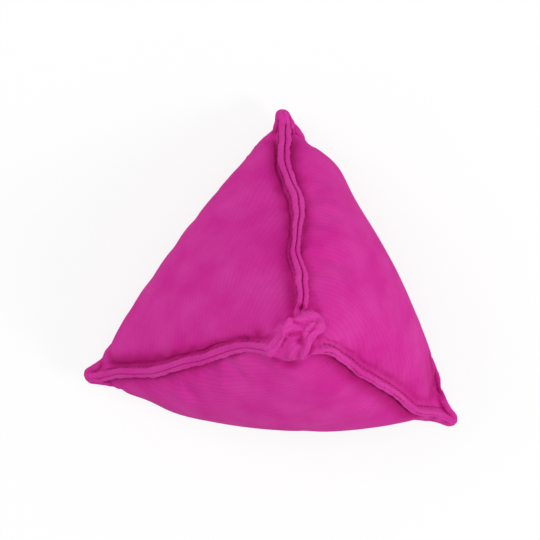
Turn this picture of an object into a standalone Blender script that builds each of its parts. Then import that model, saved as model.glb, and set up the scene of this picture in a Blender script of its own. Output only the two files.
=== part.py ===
"""A toss bean bag: a pyramid of four twill panels, its ridged seams, their threads and its pellets.

Metres, +Z up. The bag rests on its base panel. The origin is on the floor under the bag, where the three
floor corners' bearings meet. +Y runs to the rear corner, and the front panel faces -Y.
"""

from dataclasses import dataclass
from itertools import combinations
from math import cos, pi, radians, sin

import bmesh
import bpy
import numpy as np

MM = 0.001

# Resting pose: where the four corners end
REAR_REACH = 61.4 * MM
LEFT_REACH = 65.3 * MM
RIGHT_REACH = 70.0 * MM
REAR_BEARING_DEG = 87.5
LEFT_BEARING_DEG = 201.0
RIGHT_BEARING_DEG = 326.5
CORNER_HEIGHT = 10.0 * MM
PEAK_HEIGHT = 82.0 * MM
PEAK_SHIFT_X = 6.0 * MM
PEAK_SHIFT_Y = -5.0 * MM
PEAK_LEAN_DEG = 8.0
PEAK_LEAN_BEARING_DEG = 55.0

# Ears: the empty tips where three seams run side by side
EAR_LENGTH = 11.0 * MM
PEAK_EAR_LENGTH = 8.0 * MM
EAR_DROP_DEG = 4.0
EAR_END_SHARE = 0.15

# Cloth, seams and thread
CLOTH = 0.65 * MM
CLEARANCE = 0.3 * MM
RIDGE_HEIGHT = 3.2 * MM
EAR_RIDGE_EXTRA = 0.9 * MM
ALLOWANCE_DEPTH = 0.6 * MM
STITCH_HEIGHT = 1.1 * MM
THREAD_DIAMETER = 0.45 * MM
THREAD_CLEARANCE = 0.35 * MM
THREAD_END_GAP = 2.5 * MM
MOUTH_LENGTH = 45.0 * MM

# Filling
SEAM_BOWS = {
    "rear_seam": 17.0 * MM,
    "left_seam": 17.0 * MM,
    "right_seam": 17.0 * MM,
    "base_left_seam": 2.0 * MM,
    "base_right_seam": 5.0 * MM,
    "base_front_seam": 2.0 * MM,
}
SEAM_SWAYS = {"rear_seam": 9.0 * MM, "left_seam": -5.0 * MM, "right_seam": -5.0 * MM}
PANEL_CROWNS = {
    "left_panel": 10.0 * MM,
    "right_panel": 11.5 * MM,
    "front_panel": 13.5 * MM,
    "base_panel": 14.0 * MM,
}
CROWN_POWER = 0.62
BELLY_SHARE = 0.45
FILL_SEAM_DEPTH = 1.4 * MM
FILL_CLEARANCE = 0.8 * MM
FILL_END_SHARE = 0.09

# Fineness of the meshes
PANEL_CUTS = 17
FILL_CUTS = 11
ROUND_STEPS = 4
THREAD_STEPS = 24
LENGTH_SAMPLES = 60
SHARP_EDGE_DEG = 50.0

# Which corners each panel and each seam joins
PANELS = {
    "left_panel": ("rear", "left", "peak"),
    "right_panel": ("right", "rear", "peak"),
    "front_panel": ("left", "right", "peak"),
    "base_panel": ("rear", "right", "left"),
}
SEAMS = {
    "rear_seam": ("peak", "rear"),
    "left_seam": ("peak", "left"),
    "right_seam": ("peak", "right"),
    "base_left_seam": ("rear", "left"),
    "base_right_seam": ("rear", "right"),
    "base_front_seam": ("left", "right"),
}
MOUTH_SEAM = "base_front_seam"

# Colours in linear light, and roughness
CLOTH_RGB = (0.57, 0.025, 0.26)
CLOTH_ROUGHNESS = 0.9
THREAD_RGB = (0.50, 0.015, 0.22)
THREAD_ROUGHNESS = 0.7
PELLET_RGB = (0.80, 0.79, 0.75)
PELLET_ROUGHNESS = 0.5


def unit(vector):
    """The vector at length one."""
    return vector / np.linalg.norm(vector)


def square_to(vector, direction):
    """What is left of a vector, at length one, once its run along a unit direction is taken off."""
    return unit(vector - direction * float(vector @ direction))


def bearing(degrees):
    """A level unit vector, anticlockwise from +X."""
    return np.array((cos(radians(degrees)), sin(radians(degrees)), 0.0))


@dataclass(frozen=True)
class Corner:
    """Where three seams end: the point, the way its ear points and how long the ear is."""

    point: np.ndarray
    axis: np.ndarray
    ear: float


def make_corners():
    """The three floor corners, whose ears point outwards, and the peak, whose ear leans over."""
    places = {
        "rear": (REAR_BEARING_DEG, REAR_REACH),
        "left": (LEFT_BEARING_DEG, LEFT_REACH),
        "right": (RIGHT_BEARING_DEG, RIGHT_REACH),
    }
    corners = {}
    for name, (degrees, reach) in places.items():
        level = bearing(degrees)
        point = level * reach
        point[2] = CORNER_HEIGHT
        axis = level * cos(radians(EAR_DROP_DEG))
        axis[2] = -sin(radians(EAR_DROP_DEG))
        corners[name] = Corner(point, axis, EAR_LENGTH)
    lean = bearing(PEAK_LEAN_BEARING_DEG) * sin(radians(PEAK_LEAN_DEG))
    lean[2] = cos(radians(PEAK_LEAN_DEG))
    peak = np.array((PEAK_SHIFT_X, PEAK_SHIFT_Y, PEAK_HEIGHT))
    corners["peak"] = Corner(peak, lean, PEAK_EAR_LENGTH)
    return corners


class Seam:
    """One sewn edge: a curve from corner to corner, with the ridge that stands along it.

    At each end the curve runs along the corner's own axis, so the three seams there close up into an ear.
    """

    def __init__(self, name, start, end, heart):
        self.name = name
        self.start = start
        self.end = end
        middle = (start.point + end.point) / 2
        self.outward = unit(middle - heart)
        aside = unit(np.cross(end.point - start.point, self.outward)) * SEAM_SWAYS.get(name, 0.0)
        self.controls = np.array(
            (
                start.point,
                start.point - start.axis * start.ear,
                middle + self.outward * SEAM_BOWS[name] + aside,
                end.point - end.axis * end.ear,
                end.point,
            )
        )

    def point(self, t):
        """The seam's root at t, from 0 to 1, on a Bezier curve of the fourth order."""
        left = 1 - t
        weights = np.array((left**4, 4 * t * left**3, 6 * (t * left) ** 2, 4 * t**3 * left, t**4))
        return weights @ self.controls

    def tangent(self, t):
        """The seam's direction at t."""
        left = 1 - t
        weights = np.array((left**3, 3 * t * left**2, 3 * t**2 * left, t**3))
        return unit(weights @ np.diff(self.controls, axis=0))

    def across(self, t):
        """The ridge's direction away from the bag, square to the seam."""
        return square_to(self.outward, self.tangent(t))

    def sideways(self, t, side):
        """The direction from the ridge's middle towards a panel, square to ridge and seam."""
        return np.cross(self.tangent(t), self.across(t)) * side

    def point_from(self, corner_name, t):
        """The seam's root at t, counted from one named corner."""
        return self.point(t if SEAMS[self.name][0] == corner_name else 1 - t)

    def start_speed(self):
        """The curve's least speed at its ends: the length it covers there for each unit of t."""
        return 4 * min(self.start.ear, self.end.ear)

    def length(self):
        """The seam's length from tip to tip."""
        points = np.array([self.point(t) for t in np.linspace(0, 1, LENGTH_SAMPLES)])
        return float(np.linalg.norm(np.diff(points, axis=0), axis=1).sum())

    def ear_share(self, t):
        """1 at a corner, falling to 0 where its ear ends."""
        near = min(t, 1 - t) / EAR_END_SHARE
        return max(0.0, 1 - near) ** 2

    def nearest_corner(self, t):
        """The corner that the ear at t belongs to."""
        return self.start if t < 1 / 2 else self.end

    def ridge_direction(self, t):
        """Across the seam along its length, turning to the corner's axis at its tip."""
        share = self.ear_share(t)
        return unit(self.across(t) * (1 - share) + self.nearest_corner(t).axis * share)

    def ridge_height(self, t):
        """The ridge's height, which grows in the ears and is rounded off at their tips."""
        near = min(t, 1 - t) / EAR_END_SHARE
        swell = sin(pi * min(1.0, near))
        return RIDGE_HEIGHT + EAR_RIDGE_EXTRA * swell


def find_seam(seams, names):
    """The seam between two named corners."""
    return next(seam for seam in seams.values() if set(SEAMS[seam.name]) == names)


class Panel:
    """One triangle of cloth: a crowned face whose margins turn outwards into one half of each ridge."""

    def __init__(self, name, corner_names, corners, seams, heart):
        self.name = name
        self.corner_names = corner_names
        self.points = [corners[c].point for c in corner_names]
        self.normal = unit(np.cross(self.points[1] - self.points[0], self.points[2] - self.points[0]))
        middle = sum(self.points) / len(self.points)
        if self.normal @ (middle - heart) < 0:
            self.normal = -self.normal
        self.sides = {}
        for first, second in combinations(range(3), 2):
            seam = find_seam(seams, {corner_names[first], corner_names[second]})
            same_way = SEAMS[seam.name][0] == corner_names[first]
            lateral = np.cross(seam.tangent(1 / 2), seam.across(1 / 2))
            side = 1.0 if lateral @ (middle - seam.point(1 / 2)) > 0 else -1.0
            self.sides[(first, second)] = (seam, same_way, side)
        self.tips = {i: self.tip_offset(i) for i in range(3)}
        outer = CLEARANCE / 2 + 2 * CLOTH
        self.ends = [self.points[i] + self.tips[i] * outer for i in range(3)]

    def tip_offset(self, corner):
        """At a corner, the offset that keeps this panel at length one from both of its seams' ridges."""
        found = []
        for (first, second), (seam, same_way, side) in self.sides.items():
            if corner in (first, second):
                at_start = (corner == first) == same_way
                found.append(seam.sideways(0.0 if at_start else 1.0, side))
        return (found[0] + found[1]) / (1 + found[0] @ found[1])

    def offset(self, pair, t):
        """The direction from a seam's ridge to this panel, with the tips' own offsets at both ends."""
        seam, same_way, side = self.sides[pair]
        seam_t = t if same_way else 1 - t
        corner = pair[0] if t < 1 / 2 else pair[1]
        end_t = 0.0 if seam_t < 1 / 2 else 1.0
        rise = float(self.tips[corner] @ seam.across(end_t))
        return seam.sideways(seam_t, side) + seam.across(seam_t) * rise * seam.ear_share(seam_t)

    def margin(self, pair, t, lateral, height_of):
        """A point of the margin: lateral from the ridge's middle plane, and up the ridge by a rule."""
        seam, same_way, _ = self.sides[pair]
        seam_t = t if same_way else 1 - t
        height = height_of(seam, seam_t)
        return seam.point(seam_t) + self.offset(pair, t) * lateral + seam.ridge_direction(seam_t) * height

    def root(self, pair, t):
        """The face's outer edge at t along one side."""
        return self.margin(pair, t, CLEARANCE / 2 + 2 * CLOTH, lambda seam, seam_t: 0.0)

    def face(self, shares):
        """The outer surface at three corner shares that add up to one."""
        place = sum(share * end for share, end in zip(shares, self.ends))
        for first, second in self.sides:
            both = shares[first] + shares[second]
            if both > 0:
                t = shares[second] / both
                chord = self.ends[first] * (1 - t) + self.ends[second] * t
                place = place + (self.root((first, second), t) - chord) * both**2
        lift = max(0.0, np.prod([len(shares) * share for share in shares])) ** CROWN_POWER
        if "peak" in self.corner_names:
            peak_share = shares[self.corner_names.index("peak")]
            lift *= 1 + BELLY_SHARE * (1 - len(shares) * peak_share)
        place = place + self.normal * PANEL_CROWNS[self.name] * lift
        place[2] = max(0.0, place[2])
        return place


def ring_rules():
    """The margin's cross-section after the face's edge: lateral distance, and height on the ridge."""
    rules = []
    for step in range(ROUND_STEPS + 1):
        turn = pi * step / ROUND_STEPS
        lateral = CLEARANCE / 2 + CLOTH + CLOTH * cos(turn)
        rise = CLOTH * sin(turn) - CLOTH
        rules.append((lateral, lambda seam, t, rise=rise: seam.ridge_height(t) + rise))
    rules.append((CLEARANCE / 2, allowance_end))
    return rules


def allowance_end(seam, t):
    """How far the turned-in edge of the cloth reaches below the ridge's foot, less in the ears."""
    return -ALLOWANCE_DEPTH * (1 - seam.ear_share(t))


def triangle_grid(bm, cuts):
    """A triangle cut into a grid, with each vertex at its shares of the triangle's three corners."""
    bm.faces.new([bm.verts.new(row) for row in np.identity(3)])
    bmesh.ops.subdivide_edges(bm, edges=bm.edges[:], cuts=cuts, use_grid_fill=True)


def edge_share(cuts):
    """Half a grid step: a vertex with a lesser share of a corner lies on the edge across from it."""
    return 1 / (2 * (cuts + 1))


def side_of(shares):
    """Which side of the triangle a point of its edge is on, and how far along it."""
    missing = int(np.argmin(shares))
    first, second = [i for i in range(3) if i != missing]
    return (first, second), float(shares[second] / (shares[first] + shares[second]))


def add_panel(panel, colour):
    """The panel's closed shell: outer face, ridge halves all round, and inner face."""
    bm = bmesh.new()
    triangle_grid(bm, PANEL_CUTS)
    rim = [e for e in bm.edges if e.is_boundary]
    shares_of = {v: np.array(v.co) for v in bm.verts}
    inner = bmesh.ops.duplicate(bm, geom=bm.verts[:] + bm.edges[:] + bm.faces[:])
    twin = {a: b for a, b in inner["vert_map"].items() if a in shares_of}
    inner_rim = [e for e in inner["geom"] if isinstance(e, bmesh.types.BMEdge) and e.is_boundary]
    rings = []
    for _ in ring_rules():
        grown = bmesh.ops.extrude_edge_only(bm, edges=rim)["geom"]
        rings.append([v for v in grown if isinstance(v, bmesh.types.BMVert)])
        rim = [e for e in grown if isinstance(e, bmesh.types.BMEdge)]
    places = {v: panel.face(shares) for v, shares in shares_of.items()}
    for ring, (lateral, rule) in zip(rings, ring_rules()):
        for vert in ring:
            pair, t = side_of(np.array(vert.co))
            places[vert] = panel.margin(pair, t, lateral, rule)
    for vert, place in places.items():
        vert.co = place
    bm.normal_update()
    for vert, shares in shares_of.items():
        if min(shares) > edge_share(PANEL_CUTS):
            twin[vert].co = places[vert] - np.array(vert.normal) * CLOTH
        else:
            pair, t = side_of(shares)
            twin[vert].co = panel.margin(pair, t, CLEARANCE / 2 + CLOTH, allowance_end)
    bmesh.ops.bridge_loops(bm, edges=rim + inner_rim)
    finish(bm, panel.name, colour)


def tetrahedron_grid(bm, cuts):
    """A tetrahedron cut into a grid, with each vertex at its shares of the three floor corners."""
    corners = [bm.verts.new(row) for row in ((0, 0, 0), *np.identity(3))]
    for trio in combinations(corners, 3):
        bm.faces.new(trio)
    bmesh.ops.subdivide_edges(bm, edges=bm.edges[:], cuts=cuts, use_grid_fill=True)


def add_fill(panels, corners, seams, colour):
    """The pellets as one solid, just inside the panels and ending short of the empty ears."""
    tips = {}
    for name in corners:
        joined = [seam for seam in seams.values() if name in SEAMS[seam.name]]
        tips[name] = sum(seam.point_from(name, FILL_END_SHARE) for seam in joined) / len(joined)
    bm = bmesh.new()
    tetrahedron_grid(bm, FILL_CUTS)
    for vert in bm.verts:
        shares = dict(zip(("peak", "rear", "left", "right"), (1 - sum(vert.co), *vert.co)))
        shares = {name: share for name, share in shares.items() if share > edge_share(FILL_CUTS)}
        if len(shares) == 1:
            vert.co = tips[min(shares)]
        elif len(shares) == 2:
            vert.co = fill_under_seam(seams, shares)
        else:
            vert.co = fill_under_panel(panels, shares)
    finish(bm, "pellet_fill", colour)


def fill_under_seam(seams, shares):
    """A point of the filling's edge, straight in from the seam between the two corners that it shares."""
    seam = find_seam(seams, set(shares))
    t = FILL_END_SHARE + shares[SEAMS[seam.name][1]] * (1 - 2 * FILL_END_SHARE)
    return seam.point(t) - seam.across(t) * FILL_SEAM_DEPTH


def fill_under_panel(panels, shares):
    """A point of the filling's surface just inside the panel between the three corners that it shares."""
    panel = next(p for p in panels.values() if set(p.corner_names) == set(shares))
    inset = [FILL_END_SHARE + shares[name] * (1 - 3 * FILL_END_SHARE) for name in panel.corner_names]
    return panel.face(inset) - panel.normal * (CLOTH + FILL_CLEARANCE)


def add_thread(name, seam, lateral, height_of, run, colour):
    """A round thread beside or on top of a ridge, for a run from one t to another along the seam."""
    curve = bpy.data.curves.new(name, "CURVE")
    curve.dimensions = "3D"
    curve.bevel_depth = THREAD_DIAMETER / 2
    curve.bevel_resolution = 1
    curve.use_fill_caps = True
    spline = curve.splines.new("POLY")
    spline.points.add(THREAD_STEPS)
    for point, t in zip(spline.points, np.linspace(*run, THREAD_STEPS + 1)):
        place = seam.point(t) + seam.sideways(t, 1.0) * lateral + seam.ridge_direction(t) * height_of(seam, t)
        point.co = (*place, 1.0)
    thread = bpy.data.objects.new(name, curve)
    curve.materials.append(colour)
    bpy.context.collection.objects.link(thread)


def add_threads(seam, colour):
    """A seam's three threads: needle and bobbin thread of the topstitching, and the joining thread."""
    end_share = THREAD_END_GAP / seam.start_speed()
    beside = CLEARANCE / 2 + 2 * CLOTH + THREAD_CLEARANCE + THREAD_DIAMETER / 2

    def stitch_line(at, t):
        return STITCH_HEIGHT * (1 + at.ear_share(t))

    whole = (end_share, 1 - end_share)
    add_thread(f"{seam.name}_needle_thread", seam, beside, stitch_line, whole, colour)
    add_thread(f"{seam.name}_bobbin_thread", seam, -beside, stitch_line, whole, colour)

    half = CLEARANCE / 2 + CLOTH
    reach = CLOTH + THREAD_CLEARANCE + THREAD_DIAMETER / 2
    rise = (reach**2 - half**2) ** 0.5 - CLOTH

    def groove(at, t):
        return at.ridge_height(t) + rise

    runs = {f"{seam.name}_join_thread": whole}
    if seam.name == MOUTH_SEAM:
        mouth = MOUTH_LENGTH / seam.length() / 2
        runs = {
            f"{seam.name}_join_thread_left": (end_share, 1 / 2 - mouth),
            f"{seam.name}_join_thread_right": (1 / 2 + mouth, 1 - end_share),
        }
    for name, run in runs.items():
        add_thread(name, seam, 0.0, groove, run, colour)


def finish(bm, name, colour):
    """Makes a smooth-shaded object of a bmesh, with every face turned outwards."""
    bmesh.ops.recalc_face_normals(bm, faces=bm.faces[:])
    if bm.calc_volume(signed=True) < 0:
        bmesh.ops.reverse_faces(bm, faces=bm.faces[:])
    mesh = bpy.data.meshes.new(name)
    bm.to_mesh(mesh)
    bm.free()
    mesh.shade_smooth()
    mesh.set_sharp_from_angle(angle=radians(SHARP_EDGE_DEG))
    mesh.materials.append(colour)
    bpy.context.collection.objects.link(bpy.data.objects.new(name, mesh))


def material(name, rgb, roughness):
    """A plain surface of one colour."""
    made = bpy.data.materials.new(name)
    made.use_nodes = True
    shader = made.node_tree.nodes["Principled BSDF"]
    shader.inputs["Base Color"].default_value = (*rgb, 1.0)
    shader.inputs["Roughness"].default_value = roughness
    shader.inputs["Metallic"].default_value = 0.0
    return made


def main():
    """Clears the scene and makes every piece."""
    for old in list(bpy.data.objects):
        bpy.data.objects.remove(old)
    corners = make_corners()
    heart = sum(c.point for c in corners.values()) / len(corners)
    seams = {name: Seam(name, corners[a], corners[b], heart) for name, (a, b) in SEAMS.items()}
    panels = {name: Panel(name, names, corners, seams, heart) for name, names in PANELS.items()}
    for panel in panels.values():
        add_panel(panel, material(f"{panel.name}_twill", CLOTH_RGB, CLOTH_ROUGHNESS))
    for seam in seams.values():
        add_threads(seam, material(f"{seam.name}_thread", THREAD_RGB, THREAD_ROUGHNESS))
    add_fill(panels, corners, seams, material("pellets", PELLET_RGB, PELLET_ROUGHNESS))


main()
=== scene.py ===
"""Looks of the toss bean bag: garment-dyed twill panels, ridged seams, stitches, pellets and a white studio.

Metres, +Z up, in the part's own frame. The bag rests on its base panel and its rear corner points to +Y.
"""

import logging
from collections.abc import Iterator
from dataclasses import dataclass, field
from enum import Enum
from itertools import combinations
from math import atan2, cos, pi, radians, sin, sqrt
from typing import Any

import bmesh
import bpy
import numpy as np
from mathutils import Matrix, Vector


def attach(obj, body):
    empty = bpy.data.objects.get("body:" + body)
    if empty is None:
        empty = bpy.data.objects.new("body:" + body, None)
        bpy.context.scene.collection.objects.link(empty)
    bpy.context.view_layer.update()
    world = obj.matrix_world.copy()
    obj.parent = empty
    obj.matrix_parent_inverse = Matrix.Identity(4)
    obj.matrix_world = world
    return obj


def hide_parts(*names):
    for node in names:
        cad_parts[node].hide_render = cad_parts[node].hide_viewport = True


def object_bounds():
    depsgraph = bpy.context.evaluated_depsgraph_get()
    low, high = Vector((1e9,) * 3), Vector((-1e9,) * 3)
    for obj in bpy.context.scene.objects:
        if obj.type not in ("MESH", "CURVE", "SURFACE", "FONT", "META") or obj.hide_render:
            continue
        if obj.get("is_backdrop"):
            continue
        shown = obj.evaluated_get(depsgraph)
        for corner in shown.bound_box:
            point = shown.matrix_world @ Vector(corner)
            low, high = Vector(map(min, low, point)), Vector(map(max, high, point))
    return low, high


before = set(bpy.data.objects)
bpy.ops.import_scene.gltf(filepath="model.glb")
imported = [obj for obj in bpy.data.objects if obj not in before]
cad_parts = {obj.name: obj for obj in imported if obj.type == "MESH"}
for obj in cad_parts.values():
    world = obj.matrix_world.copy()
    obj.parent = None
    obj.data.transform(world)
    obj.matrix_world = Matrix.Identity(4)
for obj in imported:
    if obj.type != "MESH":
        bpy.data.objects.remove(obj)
CAD_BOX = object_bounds()

LOG = logging.getLogger("bean_bag")
MM = 0.001
WEAVE_UV = "weave"
# Per-vertex attribute: real wear above zero, painted shade below zero.
WEAR_AND_SHADE_ATTRIBUTE = "wear_and_shade"

Array = np.ndarray
Tree = bpy.types.NodeTree
Socket = bpy.types.NodeSocket
Triple = tuple[float, float, float]

TINY = 1e-9
NO_PUSH = (0.0, 0.0, 0.0)
RIPPLE_WAVES = ((1.0, 1.0, 1.7), (0.6, 1.63, 2.9), (0.4, 2.71, 1.0))


class Corner(Enum):
    """The bag's four corners."""

    REAR = "rear"
    LEFT = "left"
    RIGHT = "right"
    PEAK = "peak"


class StitchRow(Enum):
    """The three threads of a seam."""

    NEEDLE = "needle"
    BOBBIN = "bobbin"
    JOIN = "join"


def unit(rows: Array) -> Array:
    """Vectors at length one, along the last axis."""
    return rows / np.linalg.norm(rows, axis=-1, keepdims=True)


def smooth_step(values: Array | float) -> Array:
    """0 below 0, 1 above 1, and an even turn between them."""
    clipped = np.clip(values, 0.0, 1.0)
    return clipped * clipped * (3 - 2 * clipped)


def bearing(degrees: float) -> Array:
    """A level unit vector, anticlockwise from +X."""
    return np.array((cos(radians(degrees)), sin(radians(degrees)), 0.0))


def from_ends(t: Array, share: float) -> Array:
    """0 at both ends of a seam, 1 at a share of its length from them, and more farther on."""
    return np.minimum(t, 1 - t) / share


def ripple(along: Array, wavelength: float, seed: float) -> Array:
    """A fixed, uneven wave from about -1 to 1, of three waves by height, pace and share of the seed.

    Args:
        along: Distances, in metres.
        wavelength: The longest of the three waves, in metres.
        seed: Shifts the three waves against each other.

    Returns:
        The wave's height at each distance.
    """
    turns = 2 * pi * along / wavelength
    return sum(tall * np.sin(turns * pace + seed * shift) for tall, pace, shift in RIPPLE_WAVES) / 2


@dataclass(frozen=True)
class CornerPose:
    """Where three seams end: the tip, the way its ear points and how far the seams run along it.

    The lower bluntness is, the longer the ridges point along the ear. closed is how far from the tip
    their grooves stay shut.
    """

    point: Array
    axis: Array
    ear: float
    bluntness: float
    closed: float


@dataclass(frozen=True)
class RestPose:
    """The part's resting pose: where the four corners end and how their ears point."""

    reaches: dict[Corner, tuple[float, float]] = field(
        default_factory=lambda: {
            Corner.REAR: (87.5, 61.4 * MM),
            Corner.LEFT: (201.0, 65.3 * MM),
            Corner.RIGHT: (326.5, 70.0 * MM),
        }
    )
    corner_height: float = 10.0 * MM
    ear_drop_deg: float = 4.0
    ear_length: float = 11.0 * MM
    peak: Triple = (6.0 * MM, -5.0 * MM, 82.0 * MM)
    peak_lean_deg: float = 8.0
    peak_lean_bearing_deg: float = 55.0
    peak_ear_length: float = 8.0 * MM
    tips: dict[Corner, tuple[float, float]] = field(
        default_factory=lambda: {
            Corner.REAR: (4.0, 3.5 * MM),
            Corner.LEFT: (2.5, 2.0 * MM),
            Corner.RIGHT: (2.5, 7.0 * MM),
            Corner.PEAK: (4.0, 10.0 * MM),
        }
    )

    def corners(self) -> dict[Corner, CornerPose]:
        """The four corners."""
        found = {}
        for name, (degrees, reach) in self.reaches.items():
            level = bearing(degrees)
            axis = level * cos(radians(self.ear_drop_deg))
            axis[2] = -sin(radians(self.ear_drop_deg))
            tip = level * reach + np.array((0, 0, self.corner_height))
            found[name] = CornerPose(tip, axis, self.ear_length, *self.tips[name])
        lean = bearing(self.peak_lean_bearing_deg) * sin(radians(self.peak_lean_deg))
        lean[2] = cos(radians(self.peak_lean_deg))
        tip = np.array(self.peak)
        found[Corner.PEAK] = CornerPose(tip, lean, self.peak_ear_length, *self.tips[Corner.PEAK])
        return found


@dataclass(frozen=True)
class SeamPlan:
    """One seam: the corners it joins, how it bows out, and how its ridge wanders and leans.

    leans holds how many degrees the ridge leans to one side at the first corner and at the last.
    strays holds places along the seam with how far it lies beside its smooth curve there, both in
    millimetres. waists holds places with the share by which the ridge is narrower there, and over what
    length. width scales the ridge, gape the groove between two stitches, and closing fills the groove.
    """

    name: str
    first: Corner
    last: Corner
    bow: float
    sway: float = 0.0
    leans: tuple[float, float] = (0.0, 0.0)
    wander: float = 0.2 * MM
    strays: tuple[tuple[float, float], ...] = ((0.0, 0.0), (1.0, 0.0))
    waists: tuple[Triple, ...] = ()
    width: float = 1.0
    gape: float = 0.4
    closing: float = 0.2
    seed: float = 0.0


REAR_STRAYS = (
    (0, 0), (6, 1.0), (11, 1.9), (18, 1.8), (22, 1.4), (26, 1.1), (30, 0.0), (33, -0.9), (36, -1.3),
    (40, -0.8), (44, 0.0), (48, 0.4), (52, 0.35), (55, 0.1), (58, 0.0), (60, -0.3), (62, -0.8), (65, -1.4),
    (68, -1.7), (74, -2.7), (80, -2.0), (86, -1.3), (94, -0.6), (99, 0),
)
LEFT_STRAYS = (
    (0, 0), (8, 0.3), (14, 1.6), (18, 2.8), (26, 2.9), (32, 3.1), (40, 1.8), (50, 1.2), (54, 1.1), (60, 0.2),
    (78, -0.2), (84, -0.5), (94, -0.3), (101, 0),
)
RIGHT_STRAYS = (
    (0, 0), (6, -0.6), (10, -1.7), (14, -2.8), (18, -3.2), (24, -2.6), (30, -2.1), (36, -0.9), (44, -0.4),
    (50, 0), (56, 0.5), (64, 1.2), (70, 1.8), (75, 2.6), (80, 1.8), (86, 0.4), (90, -0.4), (96, 0),
)
SEAM_PLANS = (
    SeamPlan(
        "rear_seam", Corner.PEAK, Corner.REAR, 17 * MM, 9 * MM, leans=(10, 10), wander=0.15 * MM,
        strays=REAR_STRAYS, waists=((40, 0.34, 9), (14, 0.12, 5), (66, 0.1, 5)), width=1.04, gape=0.35,
        closing=0.35, seed=1.0,
    ),
    SeamPlan(
        "left_seam", Corner.PEAK, Corner.LEFT, 17 * MM, -5 * MM, leans=(-10, -10), wander=0.1 * MM,
        strays=LEFT_STRAYS, width=0.92, gape=0.1, closing=0.7, seed=2.3,
    ),
    SeamPlan(
        "right_seam", Corner.PEAK, Corner.RIGHT, 17 * MM, -5 * MM, leans=(22, 24), wander=0.1 * MM,
        strays=RIGHT_STRAYS, width=0.66, gape=0.0, closing=0.95, seed=3.9,
    ),
    SeamPlan("base_left_seam", Corner.REAR, Corner.LEFT, 2 * MM, leans=(35, 70), seed=5.1),
    SeamPlan("base_right_seam", Corner.REAR, Corner.RIGHT, 5 * MM, leans=(20, 60), seed=6.4),
    SeamPlan("base_front_seam", Corner.LEFT, Corner.RIGHT, 2 * MM, leans=(-55, 10), seed=7.7),
)
MOUTH_SEAM = "base_front_seam"
MOUTH_LENGTH = 45.0 * MM


@dataclass(frozen=True)
class PanelPlan:
    """One triangle of cloth: its three corners and how far the filling pushes it out.

    tilt makes it fuller towards a corner. The triple after the seed holds how deep painted shade darkens its
    sides, from the first corner to the second, from the first to the third and from the second to the third.
    """

    name: str
    corners: tuple[Corner, Corner, Corner]
    crown: float
    seed: float
    painted_seam_shade: Triple
    tilt: Triple = (0.0, 0.0, 0.0)


# Each panel's triple after its seed is how deep painted shade darkens its three sides.
PANEL_PLANS = (
    PanelPlan("left_panel", (Corner.REAR, Corner.LEFT, Corner.PEAK), 10.0 * MM, 0.3, (0.3, 0.7, 0.8)),
    PanelPlan(
        "right_panel", (Corner.RIGHT, Corner.REAR, Corner.PEAK), 12.5 * MM, 1.9, (1.0, 0.2, 0.3),
        tilt=(-0.15, 0.15, 0.0),
    ),
    PanelPlan(
        "front_panel", (Corner.LEFT, Corner.RIGHT, Corner.PEAK), 13.2 * MM, 3.1, (0.5, 0.2, 0.8),
        tilt=(0.1, -0.45, 0.0),
    ),
    PanelPlan("base_panel", (Corner.REAR, Corner.RIGHT, Corner.LEFT), 14.0 * MM, 4.6, (0.4, 0.4, 0.4)),
)


@dataclass(frozen=True)
class EarShape:
    """How the filling's weight and handling have pressed and bent one empty corner.

    The ear is pressed flat between two limits, square to its axis. It may also be drawn out, twisted and
    flopped over. Each change sets in at a distance from the tip, measured along the cloth.
    """

    corner: Corner
    width: float
    depth: float
    start: float
    end: float
    bend_bearing_deg: float = 0.0
    bend_deg: float = 0.0
    bend_start: float = 0.0
    bend_radius: float = 1.0 * MM
    bend_reach: float = 9.0 * MM
    bend_fade: float = 3.0 * MM
    drawn: float = 0.0
    drawn_start: float = 8.0 * MM
    twist_deg: float = 0.0
    twist_start: float = 10.0 * MM
    twist_end: float = 5.0 * MM
    spread: float = 1.0
    shift: float = 0.0

    def shaped(self, points: Array, pose: CornerPose, reach: Array) -> Array:
        """Presses, twists and bends the points near the corner.

        Args:
            points: Places in metres, one to a row.
            pose: The corner before it is pressed.
            reach: How far each place is from the tip, along the cloth.

        Returns:
            The places afterwards.
        """
        toward = bearing(self.bend_bearing_deg) if self.bend_deg else np.array((0.0, 0.0, 1.0))
        deep = unit(toward - pose.axis * (toward @ pose.axis))
        wide = np.cross(pose.axis, deep)
        local = points - pose.point
        along, x, y = local @ pose.axis, local @ wide, local @ deep
        turned = smooth_step((self.twist_start - reach) / (self.twist_start - self.twist_end))
        twist = radians(self.twist_deg) * turned
        x, y = x * np.cos(twist) + y * np.sin(twist), y * np.cos(twist) - x * np.sin(twist)
        weight = smooth_step((self.start - reach) / (self.start - self.end))
        x = x * (1 + (self.spread - 1) * weight)
        x = x + weight * (self.width * np.tanh(x / self.width) - x + self.shift)
        y = y + weight * (self.depth * np.tanh(y / self.depth) - y)
        along = along + self.drawn * smooth_step((self.drawn_start - reach) / self.drawn_start)
        if not self.bend_deg:
            return pose.point + np.outer(along, pose.axis) + np.outer(x, wide) + np.outer(y, deep)
        flopped = smooth_step((self.bend_reach - reach) / self.bend_fade)
        past = np.maximum(along + self.bend_start, 0.0) * flopped
        angle = np.minimum(past / self.bend_radius, radians(self.bend_deg))
        rest = past - angle * self.bend_radius
        new_y = self.bend_radius * (1 - np.cos(angle)) + rest * np.sin(angle) + y * np.cos(angle)
        new_along = along - past + self.bend_radius * np.sin(angle) + rest * np.cos(angle) - y * np.sin(angle)
        return pose.point + np.outer(new_along, pose.axis) + np.outer(x, wide) + np.outer(new_y, deep)


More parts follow.
